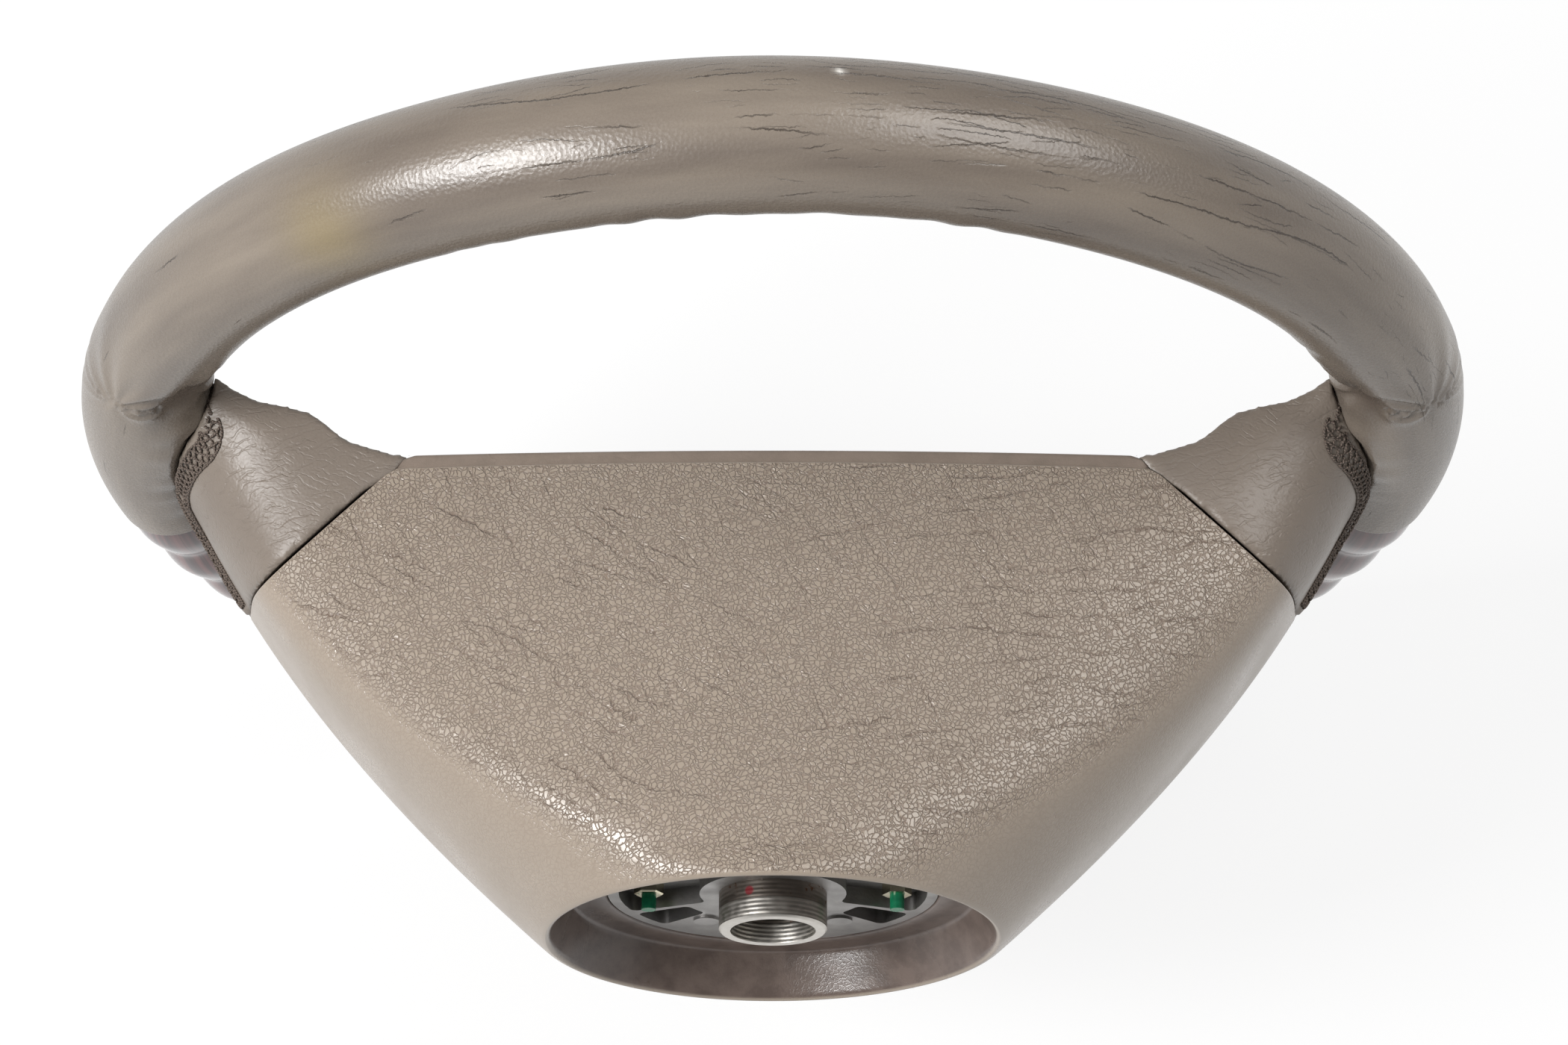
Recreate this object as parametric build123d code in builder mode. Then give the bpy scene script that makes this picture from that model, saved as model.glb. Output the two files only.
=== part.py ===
import os
from math import cos, pi, radians, sin, sqrt

from build123d import *

# Car steering wheel in millimetres. X is to the right seen from the column, Z is to twelve
# o'clock, and Y runs along the column axis from the column (-Y) to the driver (+Y).
# The origin is on the axis, at the mouth of the hub sleeve.

# Rim
rim_diameter = 390.0
grip_width = 34.2
grip_depth = 38.6
dish = 146.0
ring_diameter = 12.0
leather_end_angle = 13.0
fit_gap = 0.2

# Finger waves of the wood grip, which start at the ends of the leather
finger_pitch_angle = 9.3
finger_count = 4
finger_depth = 1.8

# Funnel of shroud and spokes: round at the boss lip, wide and square towards the rim
lip_radius = 62.3
lip_y = -3.0
width_bend = 0.00212
height_flare = 0.30
height_bend = 0.00104
centre_drop = 0.085
centre_bend = 0.00022
squareness = 0.0145
funnel_front_y = 152.0

# Top face of the funnel: an arch that grows rounder towards the column
top_edge_z = 45.0
top_edge_y = 118.0
top_slope = 0.148
top_arch = 0.0000155
ridge_sharpness = 20

# Rear shroud
shroud_wall = 4.0
lip_wall = 3.0
lip_round = 1.2
mouth_depth = 13.0
mouth_floor_radius = 55.5
mouth_flange = 2.5
shroud_front_y = 123.5

# Seam between the shroud and the spoke covers
seam_x = 101.0
seam_y = 122.0
seam_z = 41.0
seam_gap = 1.2
spoke_front_y = 157.5
spoke_front_slope = 0.41

# Cast hub, arms and sleeve
hub_radius = 45.0
hub_face_y = 10.5
hub_thickness = 13.5
pocket_depth = 5.0
pocket_inner_radius = 20.0
small_pocket_inner_radius = 26.0
pocket_outer_radius = 42.0
pocket_corner = 2.0
boss_x = 18.5
boss_z = -24.0
boss_radius = 3.6
boss_height = 0.8
sleeve_radius = 14.7
sleeve_length = 42.0
sleeve_chamfer = 0.6
pilot_radius = 11.6
pilot_depth = 13.0
spline_radius = 8.8
press_gap = 0.02
arm_width = 44.0
arm_z = -12.0
arm_web = 4.5
arm_rib = 9.0
arm_rib_width = 6.0
arm_bend = 12.0

# Horn carrier, studs, nuts, guide bolts, springs and contacts
stud_x = 34.0
stud_z = -7.0
stud_radius = 2.0
stud_stand_out = 7.4
stud_head_radius = 3.5
stud_head_height = 1.2
nut_across_flats = 7.0
nut_height = 3.2
nut_chamfer = 0.4
carrier_sheet = 2.0
carrier_width = 34.0
carrier_foot = 44.0
carrier_shoulder_inset = 7.0
carrier_overhang = 21.0
carrier_top_y = 86.0
carrier_bend = 4.0
horn_travel = 2.5
spring_height = 12.0
spring_radius = 5.0
spring_wire = 1.2
spring_pitch = 2.6
bolt_clearance = 11.0
bolt_spread = 20.0
bolt_radius = 3.0
bolt_head_radius = 5.5
bolt_head_height = 3.0
bolt_tail = 3.0
slide_gap = 0.3
contact_clearance = 4.0
contact_radius = 3.0
contact_height = 1.5
stop_gap = 0.1

# Front pad and the module behind it
pad_top_z = 35.5
pad_bottom_z = -78.0
pad_width = 252.0
pad_corner = 30.0
pad_apex_y = 140.0
pad_edge_y = 124.5
pad_skirt_y = 119.0
pad_wall = 3.5
pad_side_gap = 1.5
pad_side_round = 2.0
tray_width = 150.0
tray_height = 96.0
tray_floor_y = 90.0
tray_front_y = 118.0
tray_sheet = 1.5
tray_corner = 14.0
ear_sheet = 2.0
ear_overhang = 19.0
collar_wall = 3.5
collar_overlap = 13.0
generator_radius = 35.0
generator_flange_radius = 46.0
generator_flange = 2.0
generator_back_y = 66.0
generator_front_y = 104.0
generator_edge = 4.0
ring_sheet = 2.0
generator_stud_radius = 2.5
generator_stud_tail = 6.0
generator_nut_flats = 8.0
generator_nut_height = 4.0
bag_gap = 2.2
bag_front_y = 117.0
rivet_radius = 2.0
rivet_head_radius = 3.4
rivet_head_height = 1.2
rivet_spread = 45.0
rivet_y = 111.5

# Values worked out from the sizes above
rim_radius = rim_diameter / 2 - grip_width / 2
funnel_run = funnel_front_y - lip_y
width_flare = (rim_radius - lip_radius) / funnel_run + width_bend * funnel_run
hub_front_y = hub_face_y + hub_thickness
pocket_floor_y = hub_face_y + pocket_depth
mouth_floor_y = lip_y + mouth_depth
ear_y = carrier_top_y + spring_height
pad_mid_z = (pad_top_z + pad_bottom_z) / 2
bolt_x = tray_width / 2 + bolt_clearance
contact_x = tray_width / 2 + contact_clearance
ear_reach = tray_width / 2 + ear_overhang
carrier_reach = tray_width / 2 + carrier_overhang
carrier_shoulder = tray_width / 2 - carrier_shoulder_inset
stud_places = [(-stud_x, stud_z), (stud_x, stud_z)]
bolt_places = [(x, stud_z + z) for x in (-bolt_x, bolt_x) for z in (-bolt_spread / 2, bolt_spread / 2)]
contact_places = [(-contact_x, stud_z), (contact_x, stud_z)]
generator_pitch = (generator_radius + generator_flange_radius) / sqrt(8)
generator_places = [(x, pad_mid_z + z) for x in (-generator_pitch, generator_pitch)
                    for z in (-generator_pitch, generator_pitch)]
seam_left = Plane(origin=(-seam_x, seam_y, seam_z), z_dir=(0.666, -0.689, -0.284))
seam_right = Plane(origin=(seam_x, seam_y, seam_z), z_dir=(-0.666, -0.689, -0.284))
far = 400.0


def at_y(y):
    """A sketch plane across the column axis: local x is X, local y is Z, its normal is -Y."""
    return Plane.XZ.offset(-y)


def radial(angle):
    """A sketch plane through the column axis: local x points out at this angle, local y is Y."""
    a = radians(angle)
    return Plane(origin=(0, 0, 0), x_dir=(cos(a), 0, sin(a)), z_dir=(-sin(a), 0, cos(a)))


def funnel_point(y, angle, inset):
    """A point of the funnel's outline at one Y: a superellipse whose top is cut by the arch."""
    run = y - lip_y
    half_x = lip_radius + width_flare * run - width_bend * run**2 - inset
    half_z = lip_radius + height_flare * run - height_bend * run**2 - inset
    middle = centre_bend * run**2 - centre_drop * run
    power = 2 + squareness * run
    across, up = cos(angle), sin(angle)
    side = (abs(across / half_x)**power + abs(up / half_z)**power)**(-1 / power)
    if run == 0:
        return side * across, middle + side * up
    behind_rim = dish - y
    room = top_edge_z + top_slope * (top_edge_y - y) - inset - middle
    arch = max(top_arch * behind_rim, 0) * across**2
    top = 2 * room / max(up + sqrt(up**2 + 4 * arch * room), 1e-6)
    reach = (side**-ridge_sharpness + top**-ridge_sharpness)**(-1 / ridge_sharpness)
    return reach * across, middle + reach * up


def funnel(inset, back_y, front_y):
    """The outer form of shroud and spokes together, inset by a wall."""
    count = 48
    stations = 9
    with BuildPart() as form:
        for i in range(stations):
            y = back_y + (front_y - back_y) * (i / (stations - 1))**1.3
            outline = [funnel_point(y, radians(360 * k / count - 90), inset) for k in range(count)]
            with BuildSketch(at_y(y)):
                with BuildLine():
                    Spline(*outline, periodic=True)
                make_face()
        loft()
    return form.part


def rim_tube(spare):
    """The plain rim as a full ring, grown by a spare."""
    with BuildPart() as tube:
        with BuildSketch(radial(0)):
            with Locations((rim_radius, dish)):
                Ellipse(grip_width / 2 + spare, grip_depth / 2 + spare)
        revolve(axis=Axis.Y)
    return tube.part


def rim_ring(spare):
    """The round ring of the casting, grown by a spare."""
    with BuildPart() as ring:
        with BuildSketch(radial(0)):
            with Locations((rim_radius, dish)):
                Circle(ring_diameter / 2 + spare)
        revolve(axis=Axis.Y)
    return ring.part


def arms(spare):
    """Both arms of the casting, a web with two ribs, grown by a spare."""
    rib_z = (arm_width - arm_rib_width) / 2
    strips = ((arm_web, arm_width, 0), (arm_rib, arm_rib_width, -rib_z), (arm_rib, arm_rib_width, rib_z))
    with BuildPart() as pair:
        for thickness, width, z in strips:
            with BuildSketch(Plane.XY.offset(arm_z + z)):
                with BuildLine():
                    FilletPolyline((hub_radius - 8, hub_front_y - 6.5), (hub_radius + 17, hub_front_y - 5.5),
                                   (rim_radius - 32, dish - 26), (rim_radius, dish), radius=arm_bend)
                trace(line_width=thickness + 2 * spare)
            extrude(amount=width / 2 + spare, both=True)
        mirror(about=Plane.YZ)
    return pair.part


def finish(piece, name):
    """Label one piece and write its file."""
    piece.part.label = name
    export_step(piece.part, f"parts/{name}.step")


os.makedirs("parts", exist_ok=True)

# Cast armature: hub disc with pockets and small bosses, two arms, rim ring
with BuildPart() as armature:
    with BuildSketch(at_y(hub_front_y)):
        Circle(hub_radius)
    extrude(amount=hub_thickness)
    add(arms(0))
    add(rim_ring(0))
    with BuildSketch(at_y(hub_face_y)):
        with Locations((-boss_x, boss_z), (boss_x, boss_z)):
            Circle(boss_radius)
    extrude(amount=boss_height)
    with BuildSketch(at_y(hub_face_y)) as pockets:
        for inner, start, end in ((pocket_inner_radius, 118, 203), (small_pocket_inner_radius, 206.5, 224)):
            with BuildLine():
                rim_arc = CenterArc((0, 0), pocket_outer_radius, start, end - start)
                hub_arc = CenterArc((0, 0), inner, start, end - start)
                Line(rim_arc @ 0, hub_arc @ 0)
                Line(rim_arc @ 1, hub_arc @ 1)
            make_face()
        fillet(pockets.vertices(), pocket_corner)
        mirror(about=Plane.YZ)
    extrude(amount=-pocket_depth, mode=Mode.SUBTRACT)
    with BuildSketch(at_y(hub_front_y)):
        Circle(sleeve_radius + press_gap)
        with Locations(*stud_places):
            Circle(stud_radius + fit_gap)
    extrude(amount=hub_thickness, mode=Mode.SUBTRACT)
finish(armature, "armature")

# Steel sleeve: pilot bore at the mouth, narrower bore behind it
with BuildPart() as hub_sleeve:
    with BuildSketch(at_y(sleeve_length)):
        Circle(sleeve_radius)
        Circle(spline_radius, mode=Mode.SUBTRACT)
    extrude(amount=sleeve_length)
    with BuildSketch(at_y(0)):
        Circle(pilot_radius)
    extrude(amount=-pilot_depth, mode=Mode.SUBTRACT)
    chamfer(hub_sleeve.faces().sort_by(Axis.Y)[0].outer_wire().edges(), sleeve_chamfer)
finish(hub_sleeve, "hub_sleeve")

# Padded leather wrap of the upper rim, around the ring
with BuildPart() as rim_leather:
    with BuildSketch(radial(180 + leather_end_angle)):
        with Locations((rim_radius, dish)):
            Ellipse(grip_width / 2, grip_depth / 2)
            Circle(ring_diameter / 2 + fit_gap, mode=Mode.SUBTRACT)
    revolve(axis=Axis.Y, revolution_arc=180 + 2 * leather_end_angle)
    add(arms(fit_gap), mode=Mode.SUBTRACT)
finish(rim_leather, "rim_leather")

# Wood grip of the lower rim: barrel-shaped finger swells on both sides, plain at the bottom
with BuildPart() as wood_grip:
    half = finger_pitch_angle / 2
    shoulder = finger_depth / 4
    for k in range(finger_count + 1):
        crest = leather_end_angle + finger_pitch_angle * k
        rows = [(crest - half, finger_depth), (crest, 0), (crest + half, finger_depth)]
        if k == 0:
            rows = [(crest, 0), (crest + half / 2, shoulder), (crest + half, finger_depth)]
        if k == finger_count:
            rows = [(crest - half, finger_depth), (crest - half / 2, shoulder), (crest, 0)]
        for below, depth in rows:
            with BuildSketch(radial(180 + below)):
                with Locations((rim_radius, dish)):
                    Ellipse(grip_width / 2 - depth, grip_depth / 2 - depth)
        loft()
    mirror(about=Plane.YZ)
    waves_end = leather_end_angle + finger_pitch_angle * finger_count
    with BuildSketch(radial(-waves_end)):
        with Locations((rim_radius, dish)):
            Ellipse(grip_width / 2, grip_depth / 2)
    revolve(axis=Axis.Y, revolution_arc=180 - 2 * waves_end)
    add(rim_ring(fit_gap), mode=Mode.SUBTRACT)
finish(wood_grip, "wood_grip")

# Spoke covers: the ends of the funnel beyond the seams, closed against the rim and the arms
whole_funnel = funnel(0, lip_y, funnel_front_y)
for name, seam, side in (("left_spoke_cover", seam_left, -1), ("right_spoke_cover", seam_right, 1)):
    front = Plane(origin=(side * rim_radius, spoke_front_y, 0), z_dir=(side * spoke_front_slope, -1, 0))
    with BuildPart() as spoke_cover:
        add(whole_funnel)
        split(bisect_by=seam.offset(-seam_gap), keep=Keep.BOTTOM)
        split(bisect_by=front, keep=Keep.TOP)
        add(rim_tube(fit_gap), mode=Mode.SUBTRACT)
        add(arms(fit_gap), mode=Mode.SUBTRACT)
    finish(spoke_cover, name)

# Rear shroud: shell between the seams, with the boss lip and the mouth flange
with BuildPart() as rear_shroud:
    add(whole_funnel)
    split(bisect_by=at_y(shroud_front_y), keep=Keep.TOP)
    split(bisect_by=seam_left, keep=Keep.TOP)
    split(bisect_by=seam_right, keep=Keep.TOP)
    add(funnel(shroud_wall, mouth_floor_y + mouth_flange, funnel_front_y + 1), mode=Mode.SUBTRACT)
    with BuildSketch(at_y(lip_y)):
        Circle(lip_radius - lip_wall)
    with BuildSketch(at_y(mouth_floor_y)):
        Circle(mouth_floor_radius)
    loft(mode=Mode.SUBTRACT)
    with BuildSketch(at_y(lip_y)):
        Circle(hub_radius + fit_gap)
    extrude(amount=-mouth_depth - 2 * mouth_flange, mode=Mode.SUBTRACT)
    lip_edges = rear_shroud.edges().filter_by_position(Axis.Y, lip_y - 0.01, lip_y + 0.01)
    fillet(lip_edges.filter_by(GeomType.CIRCLE), lip_round)
finish(rear_shroud, "rear_shroud")

# Horn carrier: pressed bracket on the front of the hub disc, with a flange for the horn switch
with BuildPart() as horn_carrier:
    with BuildSketch(Plane.XY.offset(stud_z)):
        with BuildLine():
            FilletPolyline((0, hub_front_y + carrier_sheet / 2), (carrier_foot, hub_front_y + carrier_sheet / 2),
                           (carrier_shoulder, carrier_top_y - carrier_sheet / 2),
                           (carrier_reach, carrier_top_y - carrier_sheet / 2), radius=carrier_bend)
        trace(line_width=carrier_sheet)
    extrude(amount=carrier_width / 2, both=True)
    mirror(about=Plane.YZ)
    with BuildSketch(at_y(hub_front_y + carrier_sheet)):
        Circle(sleeve_radius + 2)
        with Locations(*stud_places):
            Circle(stud_radius + press_gap)
    extrude(amount=carrier_sheet, mode=Mode.SUBTRACT)
    with BuildSketch(at_y(carrier_top_y)):
        with Locations(*bolt_places):
            Circle(bolt_radius + press_gap)
    extrude(amount=carrier_sheet, mode=Mode.SUBTRACT)
finish(horn_carrier, "horn_carrier")

# Studs pressed into the carrier, through the hub disc
with BuildPart() as carrier_studs:
    with BuildSketch(at_y(hub_front_y + carrier_sheet)):
        with Locations(*stud_places):
            Circle(stud_radius)
    extrude(amount=hub_front_y + carrier_sheet - pocket_floor_y + stud_stand_out)
    with BuildSketch(at_y(hub_front_y + carrier_sheet)):
        with Locations(*stud_places):
            Circle(stud_head_radius)
    extrude(amount=-stud_head_height)
finish(carrier_studs, "carrier_studs")

# Nuts of the carrier, on the floors of the upper pockets
with BuildPart() as carrier_nuts:
    with BuildSketch(at_y(pocket_floor_y)):
        with Locations(*stud_places):
            RegularPolygon(nut_across_flats / 2, 6, major_radius=False)
            Circle(stud_radius + press_gap, mode=Mode.SUBTRACT)
    extrude(amount=nut_height)
    outer_faces = carrier_nuts.faces().group_by(Axis.Y)[0]
    chamfer([face.outer_wire().edges() for face in outer_faces][0], nut_chamfer)
finish(carrier_nuts, "carrier_nuts")

# Guide bolts of the horn push
with BuildPart() as guide_bolts:
    with BuildSketch(at_y(ear_y + ear_sheet + stop_gap)):
        with Locations(*bolt_places):
            Circle(bolt_radius)
    extrude(amount=ear_y + ear_sheet + stop_gap - carrier_top_y + carrier_sheet + bolt_tail)
    with BuildSketch(at_y(ear_y + ear_sheet + stop_gap)):
        with Locations(*bolt_places):
            Circle(bolt_head_radius)
    extrude(amount=-bolt_head_height)
finish(guide_bolts, "guide_bolts")

# Coil springs around the guide bolts
with BuildPart() as horn_springs:
    for x, z in bolt_places:
        with BuildLine() as coil:
            Helix(spring_pitch, spring_height - spring_wire - 0.1, spring_radius,
                  center=(x, carrier_top_y + spring_wire / 2 + 0.05, z), direction=(0, 1, 0))
        with BuildSketch(Plane(origin=coil.line @ 0, z_dir=coil.line % 0)):
            Circle(spring_wire / 2)
        sweep(path=coil.line, is_frenet=True)
finish(horn_springs, "horn_springs")

# Horn contacts: one on each carrier flange, one under each ear of the housing
with BuildPart() as fixed_contacts:
    with BuildSketch(at_y(ear_y - contact_height - horn_travel - stop_gap)):
        with Locations(*contact_places):
            Circle(contact_radius)
    extrude(amount=spring_height - contact_height - horn_travel - stop_gap)
finish(fixed_contacts, "fixed_contacts")
with BuildPart() as moving_contacts:
    with BuildSketch(at_y(ear_y)):
        with Locations(*contact_places):
            Circle(contact_radius)
    extrude(amount=contact_height)
finish(moving_contacts, "moving_contacts")

# Airbag housing: open tray with two ears that slide on the guide bolts
with BuildPart() as airbag_housing:
    with BuildSketch(at_y(tray_front_y)):
        with Locations((0, pad_mid_z)):
            RectangleRounded(tray_width, tray_height, tray_corner)
    extrude(amount=tray_front_y - tray_floor_y)
    offset(amount=-tray_sheet, openings=airbag_housing.faces().sort_by(Axis.Y)[-1])
    with BuildSketch(at_y(ear_y + ear_sheet)):
        for side in (-1, 1):
            with Locations((side * (tray_width / 2 + ear_reach - tray_sheet) / 2, stud_z)):
                Rectangle(ear_reach - tray_width / 2 + tray_sheet, carrier_width)
        with Locations(*bolt_places):
            Circle(bolt_radius + slide_gap, mode=Mode.SUBTRACT)
    extrude(amount=ear_sheet)
    with BuildSketch(at_y(tray_floor_y + tray_sheet)):
        with Locations((0, pad_mid_z)):
            Circle(generator_radius + fit_gap)
        with Locations(*generator_places):
            Circle(generator_stud_radius + fit_gap)
    extrude(amount=tray_sheet, mode=Mode.SUBTRACT)
    with BuildSketch(Plane.XY.offset(pad_mid_z)):
        with Locations(*[(x, rivet_y) for x in (-rivet_spread, 0, rivet_spread)]):
            Circle(rivet_radius + press_gap)
    extrude(amount=tray_height, both=True, mode=Mode.SUBTRACT)
finish(airbag_housing, "airbag_housing")

# Gas generator: round can with a flange under the tray floor
with BuildPart() as gas_generator:
    with BuildSketch(at_y(generator_front_y)):
        with Locations((0, pad_mid_z)):
            Circle(generator_radius)
    extrude(amount=generator_front_y - generator_back_y)
    fillet(gas_generator.edges().filter_by(GeomType.CIRCLE), generator_edge)
    with BuildSketch(at_y(tray_floor_y)):
        with Locations((0, pad_mid_z)):
            Circle(generator_flange_radius)
        with Locations(*generator_places):
            Circle(generator_stud_radius + fit_gap, mode=Mode.SUBTRACT)
    extrude(amount=generator_flange)
finish(gas_generator, "gas_generator")

# Retaining ring inside the tray, with four studs through the floor and the generator's flange
with BuildPart() as bag_retaining_ring:
    ring_top_y = tray_floor_y + tray_sheet + ring_sheet
    with BuildSketch(at_y(ring_top_y)):
        with Locations((0, pad_mid_z)):
            Circle(generator_flange_radius)
            Circle(generator_radius + fit_gap, mode=Mode.SUBTRACT)
    extrude(amount=ring_sheet)
    with BuildSketch(at_y(ring_top_y)):
        with Locations(*generator_places):
            Circle(generator_stud_radius)
    extrude(amount=ring_sheet + tray_sheet + generator_flange + generator_stud_tail)
finish(bag_retaining_ring, "bag_retaining_ring")

# Nuts of the gas generator
with BuildPart() as generator_nuts:
    with BuildSketch(at_y(tray_floor_y - generator_flange)):
        with Locations(*generator_places):
            RegularPolygon(generator_nut_flats / 2, 6, major_radius=False)
            Circle(generator_stud_radius + press_gap, mode=Mode.SUBTRACT)
    extrude(amount=generator_nut_height)
finish(generator_nuts, "generator_nuts")

# Folded cushion in the tray, around the ring and the generator
with BuildPart() as airbag_cushion:
    with BuildSketch(at_y(bag_front_y)):
        with Locations((0, pad_mid_z)):
            inside = 2 * (tray_sheet + bag_gap)
            RectangleRounded(tray_width - inside, tray_height - inside, tray_corner - inside / 2)
    extrude(amount=bag_front_y - tray_floor_y - tray_sheet - fit_gap)
    with BuildSketch(at_y(tray_floor_y + tray_sheet)):
        with Locations((0, pad_mid_z)):
            Circle(generator_flange_radius + 1)
    extrude(amount=-ring_sheet - fit_gap, mode=Mode.SUBTRACT)
    with BuildSketch(at_y(tray_floor_y + tray_sheet)):
        with Locations((0, pad_mid_z)):
            Circle(generator_radius + 1)
    extrude(amount=-(generator_front_y - tray_floor_y - tray_sheet) - fit_gap, mode=Mode.SUBTRACT)
finish(airbag_cushion, "airbag_cushion")


def pad_block(inset, skirt_y):
    """The domed pad between the seams as a solid block, inset by a wall."""
    with BuildPart() as block:
        with BuildSketch(Plane.YZ):
            with BuildLine():
                dome = ThreePointArc((pad_edge_y - inset, pad_bottom_z + inset), (pad_apex_y - inset, pad_mid_z),
                                     (pad_edge_y - inset, pad_top_z - inset))
                Polyline(dome @ 1, (skirt_y, pad_top_z - inset), (skirt_y, pad_bottom_z + inset), dome @ 0)
            make_face()
        extrude(amount=far / 2, both=True)
        with BuildSketch(at_y(pad_apex_y)):
            with Locations((0, pad_mid_z)):
                RectangleRounded(pad_width - 2 * inset, pad_top_z - pad_bottom_z, pad_corner - inset)
        extrude(amount=pad_apex_y - skirt_y, mode=Mode.INTERSECT)
        split(bisect_by=seam_left.offset(pad_side_gap + inset), keep=Keep.TOP)
        split(bisect_by=seam_right.offset(pad_side_gap + inset), keep=Keep.TOP)
    return block.part


# Pad cover: domed shell with a collar around the tray
with BuildPart() as pad_cover:
    add(pad_block(0, pad_skirt_y))
    fillet(pad_cover.edges().filter_by(GeomType.ELLIPSE), pad_side_round)
    add(pad_block(pad_wall, pad_skirt_y - 1), mode=Mode.SUBTRACT)
    collar_inner = 2 * fit_gap
    collar_outer = collar_inner + 2 * collar_wall
    with BuildSketch(at_y(tray_front_y - collar_overlap)) as collar:
        with Locations((0, pad_mid_z)):
            RectangleRounded(tray_width + collar_outer, tray_height + collar_outer, tray_corner + collar_outer / 2)
            RectangleRounded(tray_width + collar_inner, tray_height + collar_inner, tray_corner + collar_inner / 2,
                             mode=Mode.SUBTRACT)
    collar_tube = extrude(amount=-(pad_apex_y - tray_front_y + collar_overlap), mode=Mode.PRIVATE)
    add(collar_tube.intersect(pad_block(pad_wall / 2, tray_front_y - collar_overlap - 1)))
    with BuildSketch(Plane.XY.offset(pad_mid_z)):
        with Locations(*[(x, rivet_y) for x in (-rivet_spread, 0, rivet_spread)]):
            Circle(rivet_radius + press_gap)
    extrude(amount=tray_height, both=True, mode=Mode.SUBTRACT)
finish(pad_cover, "pad_cover")

# Rivets through the collar and the tray walls
with BuildPart() as cover_rivets:
    inner_z = tray_height / 2 - tray_sheet
    outer_z = tray_height / 2 + fit_gap + collar_wall
    for side in (-1, 1):
        for x in (-rivet_spread, 0, rivet_spread):
            rivet_plane = Plane(origin=(x, rivet_y, pad_mid_z + side * inner_z), z_dir=(0, 0, side))
            with BuildSketch(rivet_plane):
                Circle(rivet_radius)
            extrude(amount=outer_z - inner_z)
            with BuildSketch(rivet_plane):
                Circle(rivet_head_radius)
            extrude(amount=-rivet_head_height)
            with BuildSketch(rivet_plane.offset(outer_z - inner_z)):
                Circle(rivet_head_radius)
            extrude(amount=rivet_head_height)
finish(cover_rivets, "cover_rivets")
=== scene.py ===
"""Looks of a car steering wheel: padded leather rim, lacquered wood grip, laced spoke covers, grained rear shroud.

X is to the right seen from the column, Z is to twelve o'clock, and Y runs along the column axis, from the
column to the driver. The classes hold their sizes in millimetres, and meshes are written in metres.
"""

import logging
import math
from collections.abc import Callable
from dataclasses import dataclass, field
from enum import Enum
from functools import cache

import bmesh
import bpy
import numpy as np
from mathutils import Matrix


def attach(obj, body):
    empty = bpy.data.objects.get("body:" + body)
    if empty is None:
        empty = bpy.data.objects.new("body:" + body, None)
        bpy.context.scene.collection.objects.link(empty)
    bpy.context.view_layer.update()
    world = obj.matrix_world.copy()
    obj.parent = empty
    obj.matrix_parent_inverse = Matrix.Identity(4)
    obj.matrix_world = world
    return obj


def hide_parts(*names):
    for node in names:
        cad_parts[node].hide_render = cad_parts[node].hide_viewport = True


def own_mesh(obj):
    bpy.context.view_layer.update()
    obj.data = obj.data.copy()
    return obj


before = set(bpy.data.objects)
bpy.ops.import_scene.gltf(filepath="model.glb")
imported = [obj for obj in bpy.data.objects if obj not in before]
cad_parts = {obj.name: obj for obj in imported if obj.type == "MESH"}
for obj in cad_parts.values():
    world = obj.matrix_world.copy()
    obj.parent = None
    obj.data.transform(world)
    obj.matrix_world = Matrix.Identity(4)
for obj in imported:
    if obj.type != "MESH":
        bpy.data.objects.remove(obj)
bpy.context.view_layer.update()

LOG = logging.getLogger("steering_wheel")
MM = 0.001
PER_METRE = 1000.0
PATH_STEP = 0.4
COLOUR_RESULT = 2

Array = np.ndarray
Tree = bpy.types.NodeTree
Node = bpy.types.Node
Value = Node | bpy.types.NodeSocket | float | tuple | str
Inputs = dict[str | int, Value]
Piece = bpy.types.Object
Triple = tuple[float, float, float]


class Body(Enum):
    """The CAD bodies that pieces ride on."""

    WHEEL = "wheel"
    PUSH = "horn_push"


class Side(Enum):
    """The two spokes, by the sign of their X."""

    LEFT = -1
    RIGHT = 1


def linear(code: str) -> tuple[float, ...]:
    """Turns an sRGB hex colour into the linear values that shaders take.

    Args:
        code: the colour as #rrggbb.

    Returns:
        Red, green, blue and alpha.
    """
    srgb = np.array([int(code[i : i + 2], 16) for i in (1, 3, 5)]) / 255
    light = np.where(srgb <= 0.04045, srgb / 12.92, ((srgb + 0.055) / 1.055) ** 2.4)
    return (*light.tolist(), 1.0)


def smoothstep(low: float, high: float, value: Array) -> Array:
    """Rises from 0 at low to 1 at high along 3t^2 - 2t^3."""
    part = np.clip((value - low) / (high - low), 0, 1)
    return part * part * (3 - 2 * part)


def unit(vectors: Array) -> Array:
    """Scales vectors in the last axis to length one."""
    return vectors / np.maximum(np.linalg.norm(vectors, axis=-1, keepdims=True), 1e-9)


def add(tree: Tree, kind: str, inputs: Inputs | None = None, **settings: str) -> Node:
    """Adds one shader node with its settings, values and links.

    Args:
        tree: the node tree to add to.
        kind: the node's type name, without its ShaderNode.
        inputs: for each input, by name or number, a value, a hex colour, or the socket or node to link from.
        settings: properties of the node itself.

    Returns:
        The new node.
    """
    node = tree.nodes.new(f"ShaderNode{kind}")
    for key, value in settings.items():
        setattr(node, key, value)
    for key, value in (inputs or {}).items():
        if isinstance(value, Node):
            value = value.outputs[COLOUR_RESULT if getattr(value, "data_type", "") == "RGBA" else 0]
        if isinstance(value, bpy.types.NodeSocket):
            tree.links.new(value, node.inputs[key])
        else:
            node.inputs[key].default_value = linear(value) if isinstance(value, str) else value
    return node


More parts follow.
